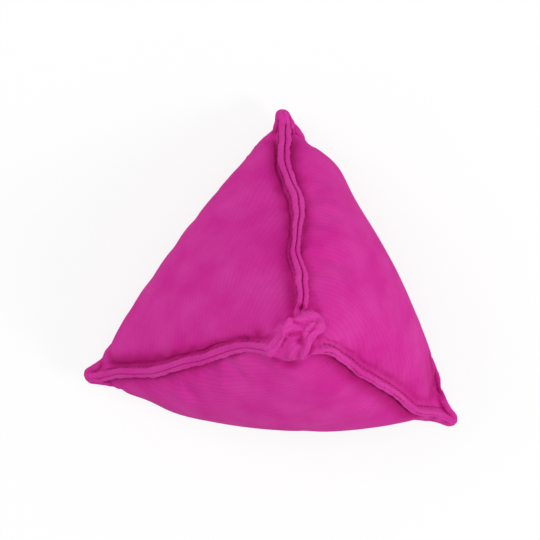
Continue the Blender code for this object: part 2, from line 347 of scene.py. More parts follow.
EAR_SHAPES = (
    EarShape(Corner.REAR, 2.7 * MM, 5.0 * MM, 9 * MM, 4 * MM),
    EarShape(Corner.LEFT, 3.8 * MM, 3.6 * MM, 8 * MM, 2 * MM),
    EarShape(Corner.RIGHT, 4.4 * MM, 3.6 * MM, 8 * MM, 2 * MM),
    EarShape(
        Corner.PEAK, 6.5 * MM, 2.1 * MM, 10 * MM, 4 * MM, bend_bearing_deg=44, bend_deg=112,
        bend_start=5.5 * MM, bend_radius=3.4 * MM, drawn=5.7 * MM, twist_deg=-43, spread=1.4,
        shift=-0.9 * MM,
    ),
)


@dataclass(frozen=True)
class Dent:
    """A place where the cloth is pushed in or out, fading over a radius. All in millimetres.

    Its last number is how much painted shade darkens the cloth there.
    """

    place: Triple
    push: Triple
    radius: float
    painted_shade: float = 0.0

    def weight(self, points: Array) -> Array:
        """1 at the dent's place, fading to 0 around it."""
        off = (points / MM - np.array(self.place)) / self.radius
        return np.exp(-np.sum(off * off, axis=1))

    def pushed(self, points: Array) -> Array:
        """The points after the push."""
        return points + np.outer(self.weight(points), np.array(self.push) * MM)


def shaded_crease(
    first: Triple, last: Triple, count: int, radius: float, painted_shade: float, push: Triple = NO_PUSH
) -> tuple[Dent, ...]:
    """Dents in a straight row, close enough to read as one crease, most of them carrying painted shade.

    Args:
        first: Where the row starts, in millimetres.
        last: Where it ends.
        count: How many dents it has.
        radius: Each dent's radius.
        painted_shade: How much painted shade darkens each dent.
        push: Each dent's push.

    Returns:
        The dents.
    """
    rows = np.linspace(first, last, count)
    return tuple(Dent(tuple(row), push, radius, painted_shade) for row in rows.tolist())


# A dent's painted shade darkens the cloth's colour around it and changes no shape.
DENTS = (
    # The right panel's rear shoulder, and the rear ear
    Dent((20.0, 44.5, 12.0), (2.6, 2.1, 0.0), 10.0),
    Dent((7.4, 57.7, 10.0), (1.2, 0.7, 0.0), 4.5),
    Dent((6.8, 58.8, 10.0), (1.1, 0.7, 0.0), 3.0),
    # The left ear, the right ear's tip and the left end of the front panel
    Dent((-61.0, -22.0, 10.0), (0.3, -1.2, 0.0), 7.0),
    Dent((-55.5, -27.5, 10.0), (0.0, -1.7, 0.0), 5.0),
    Dent((60.5, -39.0, 10.0), (0.3, -1.0, 0.0), 3.0),
    Dent((-43.5, -32.0, 24.0), (0.4, 1.4, 0.0), 8.0),
    # The wedge where the right panel meets the right ear, with painted shade in two of its dents
    Dent((52.0, -16.0, 24.0), (-1.2, -0.3, 0.0), 5.0),
    Dent((54.3, -23.0, 22.0), (-2.2, -0.3, 0.0), 6.0, 0.5),
    Dent((55.3, -29.0, 18.0), (-2.2, 0.2, 0.0), 5.0, 0.8),
    Dent((54.5, -17.5, 9.5), (2.0, 0.4, 0.4), 4.5),
    Dent((56.5, -24.0, 9.5), (1.8, 0.2, 0.8), 4.6),
    # The fold across the front panel
    *shaded_crease((13.0, -35.4, 40.0), (33.0, -30.8, 43.0), 8, 2.4, 0.0, (0.05, -0.45, 0.3)),
    # The knot at the peak: its rolls, the fold between them and its pit, which holds painted shade
    Dent((0.0, -4.5, 79.5), (2.6, 0.6, 0.0), 3.0),
    Dent((4.5, -9.5, 76.3), (0.0, -2.6, 1.8), 3.4),
    Dent((0.5, -8.5, 75.5), (-0.3, -1.8, 1.2), 2.6),
    Dent((2.2, -7.0, 78.0), (0.0, -0.3, 1.6), 1.8),
    Dent((12.2, 0.4, 79.0), (0.0, 0.0, 1.4), 1.8),
    Dent((4.6, 0.2, 80.5), (0.3, 1.8, 0.3), 1.6),
    Dent((13.4, -5.4, 81.0), (-1.2, 1.0, -0.4), 2.5),
    Dent((7.8, -5.4, 81.2), (0.0, 0.0, -1.8), 1.1, 0.9),
    Dent((6.4, -7.0, 80.5), (0.0, 0.0, 0.8), 1.2),
    # Hollows under the knot, in front and behind, with painted shade in them
    Dent((5.3, -13.4, 70.5), (0.0, 0.8, -0.8), 2.8, 0.9),
    Dent((0.8, -12.6, 71.0), (0.0, 0.5, -0.5), 2.2, 0.7),
    Dent((8.8, 4.5, 75.7), (0.0, 0.0, -1.2), 1.5),
    Dent((8.8, 4.4, 74.6), NO_PUSH, 1.7, 1.0),
    Dent((12.2, 5.2, 70.8), (0.0, 0.0, -0.4), 1.7, 0.7),
    Dent((14.0, 3.4, 71.0), (0.0, 0.0, -0.4), 1.7, 0.7),
    # Painted shade beside the rear seam and round the knot's foot
    *shaded_crease((3.9, 25.0, 54.8), (6.4, 4.6, 71.3), 14, 2.5, 0.85),
    *shaded_crease((2.6, -0.6, 71.4), (0.2, -4.6, 71.6), 5, 1.9, 0.95),
    Dent((-4.2, -4.6, 70.5), NO_PUSH, 2.5, 0.7),
    # Painted shade in the knot's own folds
    Dent((8.2, -5.5, 80.0), NO_PUSH, 1.3, 1.0),
    Dent((10.2, -10.0, 77.5), NO_PUSH, 1.4, 0.8),
    *shaded_crease((6.6, 0.6, 80.7), (9.0, 0.0, 80.7), 3, 1.1, 0.85, (0.0, 0.0, -0.4)),
    *shaded_crease((5.4, -3.4, 80.3), (8.6, -2.9, 80.6), 4, 1.1, 0.85, (0.0, 0.0, -0.4)),
    *shaded_crease((8.8, -3.2, 80.5), (9.0, -6.2, 80.2), 4, 1.1, 0.85, (0.0, 0.0, -0.3)),
    # The wrinkle beside the right ear and the seam under it, both darkened with painted shade
    *shaded_crease((52.3, -17.5, 18.5), (55.4, -31.5, 13.5), 9, 1.9, 0.95, (-0.4, 0.0, 0.0)),
    *shaded_crease((52.6, -18.5, 12.5), (56.6, -35.5, 11.3), 12, 2.1, 1.0),
    Dent((52.6, -16.8, 15.5), (0.8, 0.2, 0.0), 6.0),
    # Painted shade to the right of the knot
    Dent((14.2, -4.3, 73.5), NO_PUSH, 2.5, 0.6),
    Dent((16.5, -1.0, 73.0), NO_PUSH, 2.2, 0.5),
)


RIDGE_STEPS_MM = (
    (1.72, 0.40, 0.12, 0.0),
    (1.48, 0.85, 0.28, 0.0),
    (1.46, 1.20, 0.32, 0.0),
    (1.68, 1.65, 0.22, 0.0),
    (1.92, 2.15, 0.18, 0.0),
    (2.02, 2.65, 0.15, 0.0),
    (1.92, 3.12, 0.12, 0.0),
    (1.58, 3.48, 0.0, 0.04),
    (1.12, 3.60, 0.0, 0.12),
    (0.68, 3.50, 0.0, 0.24),
    (0.36, 3.22, 0.0, 0.32),
    (0.20, 2.80, 0.0, 0.30),
    (0.15, 2.00, 0.0, 0.15),
    (0.15, 1.10, 0.0, 0.0),
    (0.15, -0.50, 0.0, 0.0),
)


@dataclass(frozen=True)
class Ridge:
    """The ridge along a seam: two folded margins side by side, stitched through at their waist.

    steps holds the half section from the panel's face up over the fold and down into the groove, each as
    lateral distance, height, how far a stitch pulls it in and how far the groove opens between stitches.
    Steps past crest_step lie in the groove. held_gape is the share of the opening that a stitch leaves, and
    closed_narrowing how much a closed groove is narrowed. At its tips a ridge has its tip shares.
    """

    foot: float = 2.0 * MM
    height: float = 3.6 * MM
    ear_extra: float = 0.6 * MM
    ear_end_share: float = 0.15
    ear_closing: float = 0.95
    closing_fade: float = 3.0 * MM
    unevenness: float = 0.14
    tip_round: float = 1.6 * MM
    stitch_pitch: float = 2.3 * MM
    stitch_height: float = 1.1 * MM
    groove_height: float = 2.6 * MM
    cloth: float = 0.65 * MM
    crest_step: int = 9
    held_gape: float = 0.4
    closed_narrowing: float = 0.9
    tip_width_share: float = 0.6
    tip_height_share: float = 0.93
    roll_wavelength: float = 17 * MM
    crumple_wavelength: float = 6.1 * MM
    crumple_share: float = 0.8
    steps: tuple[tuple[float, ...], ...] = tuple(tuple(size * MM for size in step) for step in RIDGE_STEPS_MM)


class SeamCurve:
    """A seam's curve through the air, with the directions that its ridge stands in."""

    SAMPLES = 400
    WANDER_WAVELENGTH = 34 * MM
    LEAN_WAVELENGTH = 31 * MM
    LEAN_UNEVENNESS_DEG = 8
    LEAN_SEED = 4.0
    LEAN_HEIGHT = 2 * MM
    HEIGHT_WAVELENGTH = 23 * MM
    HEIGHT_UNEVENNESS = 0.06
    HEIGHT_SEED = 8.0
    STRAY_FADE_SHARE = 0.06
    STITCH_FADE_SHARE = 0.03

    def __init__(self, plan: SeamPlan, corners: dict[Corner, CornerPose], heart: Array, ridge: Ridge) -> None:
        """Lays the curve.

        Args:
            plan: The seam's plan.
            corners: The corners' poses.
            heart: The middle of the bag.
            ridge: The ridge's sizes.
        """
        self.plan = plan
        self.ridge = ridge
        self.start, self.end = corners[plan.first], corners[plan.last]
        middle = (self.start.point + self.end.point) / 2
        self.outward = unit(middle - heart)
        aside = unit(np.cross(self.end.point - self.start.point, self.outward)) * plan.sway
        self.controls = np.array(
            (
                self.start.point,
                self.start.point - self.start.axis * self.start.ear,
                middle + self.outward * plan.bow + aside,
                self.end.point - self.end.axis * self.end.ear,
                self.end.point,
            )
        )
        self.table_t = np.linspace(0, 1, self.SAMPLES)
        steps = np.linalg.norm(np.diff(self.point(self.table_t), axis=0), axis=1)
        self.table_length = np.concatenate(((0.0,), np.cumsum(steps)))
        self.shift_t = np.array((0.0, 1.0))
        self.shift = np.zeros((2, 3))

    @property
    def length(self) -> float:
        """The seam's length from tip to tip."""
        return float(self.table_length[-1])

    def point(self, t: Array) -> Array:
        """Points of the curve at t, from 0 to 1."""
        left = 1 - t
        weights = np.array((left**4, 4 * t * left**3, 6 * (t * left) ** 2, 4 * t**3 * left, t**4))
        return weights.T @ self.controls

    def tangent(self, t: Array) -> Array:
        """The curve's directions at t."""
        left = 1 - t
        weights = np.array((left**3, 3 * t * left**2, 3 * t**2 * left, t**3))
        return unit(weights.T @ np.diff(self.controls, axis=0))

    def across(self, t: Array) -> Array:
        """The ridge's direction away from the bag, square to the seam."""
        tangent = self.tangent(t)
        return unit(self.outward - tangent * (tangent @ self.outward)[:, None])

    def ear_share(self, t: Array) -> Array:
        """1 at a corner, falling to 0 where its ear ends."""
        near = from_ends(t, self.ridge.ear_end_share)
        return np.clip(1 - near, 0, 1) ** np.where(t < 1 / 2, self.start.bluntness, self.end.bluntness)

    def shut(self, t: Array) -> Array:
        """1 where the groove is shut, by the corners, and 0 where it is free."""
        shares = []
        for corner, reach in ((self.start, self.distance(t)), (self.end, self.length - self.distance(t))):
            shares.append(smooth_step((corner.closed - reach) / self.ridge.closing_fade + 1))
        return np.maximum(*shares)

    def distance(self, t: Array) -> Array:
        """How far along the seam each t is."""
        return np.interp(t, self.table_t, self.table_length)

    def t_at(self, distance: Array) -> Array:
        """The t at each distance along the seam."""
        return np.interp(distance, self.table_length, self.table_t)

    def wander(self, t: Array) -> Array:
        """How far the ridge strays sideways, in metres."""
        along = self.distance(t)
        uneven = self.plan.wander * ripple(along, self.WANDER_WAVELENGTH, self.plan.seed)
        uneven = uneven * (1 - self.ear_share(t))
        places, amounts = np.array(self.plan.strays).T * MM
        step = np.clip(np.searchsorted(places, along) - 1, 0, len(places) - 2)
        wide = places[step + 1] - places[step]
        share = np.clip((along - places[step]) / wide, 0, 1)
        slopes = np.gradient(amounts, places)
        turn = smooth_step(share)
        stray = amounts[step] * (1 - turn) + amounts[step + 1] * turn
        stray = stray + wide * share * (1 - share) * (slopes[step] * (1 - share) - slopes[step + 1] * share)
        return (uneven + stray) * smooth_step(from_ends(t, self.STRAY_FADE_SHARE))

    def lean(self, t: Array) -> Array:
        """The ridge's lean to one side, in radians."""
        uneven = ripple(self.distance(t), self.LEAN_WAVELENGTH, self.plan.seed + self.LEAN_SEED)
        steady = self.plan.leans[0] * (1 - t) + self.plan.leans[1] * t
        return np.radians(steady + self.LEAN_UNEVENNESS_DEG * uneven) * (1 - self.ear_share(t)) ** 2

    def stitch_wave(self, t: Array) -> Array:
        """1 at each stitch's hole and 0 midway between two, fading out at the tips."""
        wave = (1 + np.cos(2 * pi * self.distance(t) / self.ridge.stitch_pitch)) / 2
        return wave * smooth_step(from_ends(t, self.STITCH_FADE_SHARE))

    def height_scale(self, t: Array) -> Array:
        """The ridge's height against its plan: a little uneven, and taller in the ears."""
        near = from_ends(t, self.ridge.ear_end_share)
        swell = np.sin(pi * np.minimum(1.0, near)) * self.ridge.ear_extra / self.ridge.height
        uneven = ripple(self.distance(t), self.HEIGHT_WAVELENGTH, self.plan.seed + self.HEIGHT_SEED)
        return 1 + swell + self.HEIGHT_UNEVENNESS * uneven * (1 - self.ear_share(t))

    def width_scale(self, t: Array) -> Array:
        """The ridge's width against its plan."""
        along = self.distance(t) / MM
        waists = self.plan.waists
        return 1 - sum(share * np.exp(-(((along - place) / length) ** 2)) for place, share, length in waists)

    def place(
        self, t: Array, side: Array | float, lateral: Array, height: Array, rise: Array | float = 0.0
    ) -> Array:
        """Points of the ridge.

        Args:
            t: Where along the seam.
            side: 1 or -1, for the half of the ridge.
            lateral: Distance from the ridge's middle plane.
            height: Height above the seam.
            rise: How far the tip's own offset climbs, for one metre of lateral distance.

        Returns:
            Places in metres, before the corners are pressed.
        """
        share = self.ear_share(t)[:, None]
        across = self.across(t)
        sideways = np.cross(self.tangent(t), across)
        turn = (self.lean(t) * smooth_step(height / self.LEAN_HEIGHT))[:, None]
        up = across * np.cos(turn) + sideways * np.sin(turn)
        out = sideways * np.cos(turn) - across * np.sin(turn)
        axes = np.where((t < 1 / 2)[:, None], self.start.axis, self.end.axis)
        direction = unit(up * (1 - share) + axes * share)
        offset = out * np.reshape(side, (-1, 1)) + up * np.reshape(rise, (-1, 1)) * share
        base = self.point(t) + sideways * self.wander(t)[:, None] + self.simulated(t)
        return base + offset * np.reshape(lateral, (-1, 1)) + direction * np.reshape(height, (-1, 1))

    def reaches(self, t: Array) -> dict[Corner, Array]:
        """How far along the seam its two corners are from each t."""
        return {self.plan.first: self.distance(t), self.plan.last: self.length - self.distance(t)}

    def simulated(self, t: Array) -> Array:
        """How far the simulation moved the seam."""
        return np.stack([np.interp(t, self.shift_t, self.shift[:, axis]) for axis in range(3)], axis=1)


class PanelSheet:
    """A panel's shape: a crowned triangle between its three seams."""

    CROWN_POWER = 0.62
    BELLY_SHARE = 0.45
    EAR_SHARE = 0.76
    EAR_FADE = 0.12

    def __init__(
        self,
        plan: PanelPlan,
        corners: dict[Corner, CornerPose],
        seams: dict[str, SeamCurve],
        heart: Array,
        ridge: Ridge,
    ) -> None:
        """Finds the panel's seams and which side of each it lies on.

        Args:
            plan: The panel's plan.
            corners: The corners' poses.
            seams: The seams by name.
            heart: The middle of the bag.
            ridge: The ridge's sizes.
        """
        self.plan = plan
        self.ridge = ridge
        self.points = [corners[c].point for c in plan.corners]
        middle = sum(self.points) / 3
        normal = unit(np.cross(self.points[1] - self.points[0], self.points[2] - self.points[0]))
        self.normal = normal if normal @ (middle - heart) > 0 else -normal
        self.sides: dict[tuple[int, int], tuple[SeamCurve, bool, float]] = {}
        half = np.array((1 / 2,))
        for first, second in combinations(range(3), 2):
            ends = {plan.corners[first], plan.corners[second]}
            seam = next(s for s in seams.values() if {s.plan.first, s.plan.last} == ends)
            sideways = np.cross(seam.tangent(half), seam.across(half))[0]
            side = 1.0 if sideways @ (middle - seam.point(half)[0]) > 0 else -1.0
            self.sides[(first, second)] = (seam, seam.plan.first == plan.corners[first], side)
        self.tips = [self.tip_offset(i) for i in range(3)]
        self.ends = np.array([self.points[i] + self.tips[i] * ridge.foot for i in range(3)])

    def end_t(self, pair: tuple[int, int], corner: int) -> Array:
        """A seam's t at one of the panel's corners."""
        same_way = self.sides[pair][1]
        return np.array((0.0,)) if (corner == pair[0]) == same_way else np.array((1.0,))

    def tip_offset(self, corner: int) -> Array:
        """At a corner, the offset that keeps this panel at length one from both of its seams' ridges."""
        found = []
        for pair, (seam, _, side) in self.sides.items():
            if corner in pair:
                t = self.end_t(pair, corner)
                found.append(np.cross(seam.tangent(t), seam.across(t))[0] * side)
        return (found[0] + found[1]) / (1 + found[0] @ found[1])

    def margin(self, pair: tuple[int, int], t: Array, lateral: Array, height: Array) -> Array:
        """Points of the margin along one side, by lateral distance and height on the ridge."""
        seam, same_way, side = self.sides[pair]
        rises = [float(self.tips[c] @ seam.across(self.end_t(pair, c))[0]) for c in pair]
        rise = np.where(t < 1 / 2, rises[0], rises[1])
        return seam.place(t if same_way else 1 - t, side, lateral, height, rise)

    def root(self, pair: tuple[int, int], t: Array) -> Array:
        """The face's outer edge along one side."""
        return self.margin(pair, t, np.full(len(t), self.ridge.foot), np.zeros(len(t)))

    def face(self, shares: Array) -> Array:
        """The outer surface at rows of three corner shares that add up to one."""
        place = shares @ self.ends
        for first, second in self.sides:
            both = shares[:, first] + shares[:, second]
            t = np.clip(shares[:, second] / np.maximum(both, TINY), 0, 1)
            chord = self.ends[first] * (1 - t)[:, None] + self.ends[second] * t[:, None]
            seam, same_way, _ = self.sides[(first, second)]
            moved = self.root((first, second), t) - seam.simulated(t if same_way else 1 - t)
            weight = both**2
            for corner, other in ((first, second), (second, first)):
                in_ear = smooth_step((shares[:, corner] - self.EAR_SHARE) / self.EAR_FADE)
                third = shares[:, 3 - first - second]
                weight = weight * (1 - in_ear * third / np.maximum(third + shares[:, other], TINY))
            place = place + (moved - chord) * weight[:, None]
        place = place + self.normal * (self.plan.crown * self.lift(shares))[:, None]
        place[:, 2] = np.maximum(place[:, 2], 0.0)
        return place

    def across(self, pair: tuple[int, int], shares: Array) -> Array:
        """About how far rows of corner shares lie from one side, in metres."""
        return shares[:, 3 - sum(pair)] * self.sides[pair][0].length * sqrt(3) / 2

    def seams_from(self, number: int, shares: Array) -> Iterator[tuple[SeamCurve, Array, Array]]:
        """The two seams at a corner, each with the shares of its other end and the distances along it."""
        corner = self.plan.corners[number]
        t = 1 - shares[:, number]
        for pair, (seam, _, _) in self.sides.items():
            if number in pair:
                seam_t = t if seam.plan.first == corner else 1 - t
                yield seam, shares[:, sum(pair) - number], seam.reaches(seam_t)[corner]

    def reaches(self, shares: Array) -> dict[Corner, Array]:
        """How far the panel's three corners are along the cloth, at rows of corner shares."""
        found = {}
        for number, corner in enumerate(self.plan.corners):
            total = np.zeros(len(shares))
            for _, other, reach in self.seams_from(number, shares):
                total += other * reach
            found[corner] = total / np.maximum(1 - shares[:, number], TINY)
        return found

    def even_shares(self, shares: Array) -> Array:
        """Corner shares by distance along the cloth, so that a pattern laid by them isn't stretched."""
        found = np.zeros_like(shares)
        for number in range(len(self.plan.corners)):
            t = 1 - shares[:, number]
            for seam, other, reach in self.seams_from(number, shares):
                left = (seam.length - reach) / seam.length
                found[:, number] += other * left / np.maximum(t, TINY)
            found[t < TINY, number] = 1.0
        return found / found.sum(axis=1, keepdims=True)

    def lift(self, shares: Array) -> Array:
        """How far the face stands out at rows of corner shares, against its crown."""
        lift = np.clip(np.prod(shares * 3, axis=1), 0, None) ** self.CROWN_POWER
        lift = lift * (1 + (shares - 1 / 3) @ np.array(self.plan.tilt))
        if Corner.PEAK in self.plan.corners:
            lift = lift * (1 + self.BELLY_SHARE * (1 - 3 * shares[:, self.plan.corners.index(Corner.PEAK)]))
        return lift


class SewnShape:
    """The whole bag's shape: its corners, seams and panels, and how the ears are pressed."""

    def __init__(self) -> None:
        """Lays out the resting pose."""
        self.ridge = Ridge()
        self.corners = RestPose().corners()
        heart = sum(c.point for c in self.corners.values()) / 4
        self.seams = {p.name: SeamCurve(p, self.corners, heart, self.ridge) for p in SEAM_PLANS}
        self.panels = {
            p.name: PanelSheet(p, self.corners, self.seams, heart, self.ridge) for p in PANEL_PLANS
        }

    def pressed(self, points: Array, reaches: dict[Corner, Array]) -> Array:
        """Shapes the ears and dents, and keeps everything on the floor.

        Args:
            points: Places in metres, one to a row.
            reaches: How far each corner is from them, along the cloth.

        Returns:
            The places afterwards.
        """
        for ear in EAR_SHAPES:
            if ear.corner in reaches:
                points = ear.shaped(points, self.corners[ear.corner], reaches[ear.corner])
        for dent in DENTS:
            points = dent.pushed(points)
        points[:, 2] = np.maximum(points[:, 2], 0.0)
        return points


def object_of(name: str, bm: bmesh.types.BMesh) -> bpy.types.Object:
    """Makes a linked object of a bmesh, with its place in its mesh."""
    mesh = bpy.data.meshes.new(name)
    bm.to_mesh(mesh)
    bm.free()
    made = bpy.data.objects.new(name, mesh)
    bpy.context.scene.collection.objects.link(made)
    return made


def vertex_places(mesh: bpy.types.Mesh) -> Array:
    """A mesh's vertices as rows."""
    flat = np.zeros(len(mesh.vertices) * 3)
    mesh.vertices.foreach_get("co", flat)
    return flat.reshape(-1, 3)


def face_outwards(piece: bpy.types.Object) -> None:
    """Turns every face of a closed piece outwards and shades it smooth."""
    bm = bmesh.new()
    bm.from_mesh(piece.data)
    bmesh.ops.recalc_face_normals(bm, faces=bm.faces[:])
    if bm.calc_volume(signed=True) < 0:
        bmesh.ops.reverse_faces(bm, faces=bm.faces[:])
    open_edges = sum(not e.is_manifold for e in bm.edges)
    LOG.info("%s: %d faces, %d open edges", piece.name, len(bm.faces), open_edges)
    bm.to_mesh(piece.data)
    bm.free()
    piece.data.shade_smooth()


def even_out(bm: bmesh.types.BMesh, verts: list[bmesh.types.BMVert]) -> None:
    """Moves vertices half the way to the middle of their neighbours."""
    bmesh.ops.smooth_vert(bm, verts=verts, factor=0.5, use_axis_x=True, use_axis_y=True, use_axis_z=True)


LATTICE_CORNERS = (Corner.PEAK, Corner.REAR, Corner.LEFT, Corner.RIGHT)
SIDE_TOLERANCE = 1e-4
CELL_TOLERANCE = 1e-6


def lattice_mesh(steps: int) -> bmesh.types.BMesh:
    """A tetrahedron's sides as one grid, each vertex placed at its shares of the last three corners."""
    bm = bmesh.new()
    corners = [bm.verts.new(row) for row in ((0, 0, 0), *np.identity(3))]
    for trio in combinations(corners, 3):
        bm.faces.new(trio)
    bmesh.ops.subdivide_edges(bm, edges=bm.edges[:], cuts=steps - 1, use_grid_fill=True)
    return bm


def lattice_rows(shares: Array, corners: tuple[Corner, ...]) -> tuple[Array, Array]:
    """Picks the lattice's points between some corners.

    Args:
        shares: Each point's shares of the four corners.
        corners: The three corners of a side, or the two of an edge.

    Returns:
        Which points lie there, and their shares of those corners.
    """
    columns = [LATTICE_CORNERS.index(c) for c in corners]
    inside = np.abs(shares[:, columns].sum(axis=1) - 1) < SIDE_TOLERANCE
    return inside, shares[inside][:, columns]


SIMULATED_TWILL = {
    "quality": 8,
    "mass": 0.3,
    "air_damping": 4,
    "tension_stiffness": 15,
    "compression_stiffness": 15,
    "shear_stiffness": 7.5,
    "bending_model": "ANGULAR",
    "bending_stiffness": 0.3,
    "tension_damping": 5,
    "compression_damping": 5,
    "shear_damping": 5,
    "use_pressure": True,
    "uniform_pressure_force": 3.0,
    "vertex_group_mass": "pin",
    "pin_stiffness": 1,
    "vertex_group_shrink": "gather",
    "shrink_min": -0.01,
    "shrink_max": 0.08,
}


@dataclass
class SkinSimulation:
    """Blows up the sewn skin with Blender's Cloth, so that its seams gather and its faces fill out."""

    shape: SewnShape
    steps: int = 80
    frames: int = 25
    scale: float = 10.0
    most: float = 3.0 * MM
    pin_start: float = 0.84
    pin_fade: float = 0.06
    clearance: float = 0.005
    ground_size: float = 3.0
    ground_drop: float = 0.003
    ground_friction: float = 30
    seam_smoothing: int = 3
    shifts: dict[str, Array] = field(default_factory=dict)

    def lattice(self) -> tuple[bpy.types.Object, Array]:
        """The sewn tetrahedron as one grid.

        Returns:
            The object at the simulation's scale, and each vertex's shares of the four corners.
        """
        bm = lattice_mesh(self.steps)
        bmesh.ops.recalc_face_normals(bm, faces=bm.faces[:])
        skin = object_of("skin_simulation", bm)
        lower_shares = vertex_places(skin.data)
        shares = np.column_stack((1 - lower_shares.sum(axis=1), lower_shares))
        places = self.start_places(shares)
        skin.data.vertices.foreach_set("co", (places * self.scale).ravel())
        face_outwards(skin)
        return skin, shares

    def start_places(self, shares: Array) -> Array:
        """Where the lattice's vertices start, in metres."""
        places = np.zeros((len(shares), 3))
        for panel in self.shape.panels.values():
            inside, rows = lattice_rows(shares, panel.plan.corners)
            places[inside] = panel.face(rows)
        for seam in self.shape.seams.values():
            inside, rows = lattice_rows(shares, (seam.plan.first, seam.plan.last))
            places[inside] = seam.point(np.clip(rows[:, 1], 0, 1))
        return places

    def run(self) -> None:
        """Steps the cloth and keeps how far each lattice point moved."""
        skin, shares = self.lattice()
        start = vertex_places(skin.data)
        self.group(skin, "pin", np.clip((shares.max(axis=1) - self.pin_start) / self.pin_fade, 0, 1))
        self.group(skin, "gather", (np.sort(shares, axis=1)[:, 1] < SIDE_TOLERANCE).astype(float))
        ground = self.ground()
        self.cloth(skin)
        scene = bpy.context.scene
        scene.frame_end = self.frames
        for number in range(1, self.frames + 1):
            scene.frame_set(number)
        moved = skin.evaluated_get(bpy.context.evaluated_depsgraph_get())
        shift = (vertex_places(moved.data) - start) / self.scale
        scene.frame_set(1)
        far = np.linalg.norm(shift, axis=1, keepdims=True)
        shift = shift * np.minimum(1, self.most / np.maximum(far, TINY))
        LOG.info("skin simulation: %d points, mean shift %.2f mm", len(shift), float(far.mean()) / MM)
        self.keep(shares, shift)
        for spent in (skin, ground):
            bpy.data.objects.remove(spent)

    def group(self, skin: bpy.types.Object, name: str, weights: Array) -> None:
        """Adds a vertex group of these weights."""
        made = skin.vertex_groups.new(name=name)
        for index in np.nonzero(weights > 0)[0]:
            made.add([int(index)], float(weights[index]), "REPLACE")

    def ground(self) -> bpy.types.Object:
        """The floor that the skin rests on while it is blown up."""
        bm = bmesh.new()
        bmesh.ops.create_grid(bm, x_segments=1, y_segments=1, size=self.ground_size)
        bmesh.ops.translate(bm, vec=(0, 0, -self.ground_drop), verts=bm.verts[:])
        ground = object_of("simulation_ground", bm)
        ground.modifiers.new("Collision", "COLLISION")
        ground.collision.thickness_outer = self.clearance
        ground.collision.cloth_friction = self.ground_friction
        return ground

    def cloth(self, skin: bpy.types.Object) -> None:
        """Sets the cloth up as tightly filled twill with gathered seams."""
        cloth = skin.modifiers.new("Cloth", "CLOTH")
        for name, value in SIMULATED_TWILL.items():
            setattr(cloth.settings, name, value)
        cloth.settings.effector_weights.gravity = 0
        cloth.collision_settings.use_collision = True
        cloth.collision_settings.distance_min = self.clearance
        cloth.point_cache.frame_end = self.frames

    def keep(self, shares: Array, shift: Array) -> None:
        """Sorts the shifts by panel and by seam."""
        for name, panel in self.shape.panels.items():
            inside, rows = lattice_rows(shares, panel.plan.corners)
            cells = np.rint(rows[:, :2] * self.steps).astype(int)
            table = np.zeros((self.steps + 2, self.steps + 2, 3))
            table[cells[:, 0], cells[:, 1]] = self.without_crown(panel, rows, shift[inside])
            self.shifts[name] = table
        for seam in self.shape.seams.values():
            inside, rows = lattice_rows(shares, (seam.plan.first, seam.plan.last))
            t = rows[:, 1]
            moved = shift[inside][np.argsort(t)]
            for _ in range(self.seam_smoothing):
                moved[1:-1] = (moved[:-2] + 2 * moved[1:-1] + moved[2:]) / 4
            seam.shift_t, seam.shift = np.sort(t), moved

    def without_crown(self, panel: PanelSheet, shares: Array, shift: Array) -> Array:
        """Takes the even swelling out of a panel's shift, because the panel's crown already has it."""
        lift = panel.lift(shares)
        basis = np.column_stack((lift, lift * shares[:, 0], lift * shares[:, 1]))
        outward = shift @ panel.normal
        amounts = np.linalg.lstsq(basis, outward, rcond=None)[0]
        return shift - np.outer(basis @ amounts, panel.normal)

    def at(self, name: str, shares: Array) -> Array:
        """The shift of one panel's surface at rows of corner shares."""
        if name not in self.shifts:
            return np.zeros((len(shares), 3))
        table = self.shifts[name]
        grid = np.clip(shares[:, :2] * self.steps, 0, self.steps - CELL_TOLERANCE)
        cell = np.floor(grid + CELL_TOLERANCE).astype(int)
        part = np.clip(grid - cell, 0, 1)
        i, j = cell[:, 0], cell[:, 1]
        a, b = part[:, :1], part[:, 1:]
        lower = table[i, j] * (1 - a - b) + table[i + 1, j] * a + table[i, j + 1] * b
        upper = table[i + 1, j + 1] * (a + b - 1) + table[i + 1, j] * (1 - b) + table[i, j + 1] * (1 - a)
        return np.where(a + b <= 1, lower, upper)


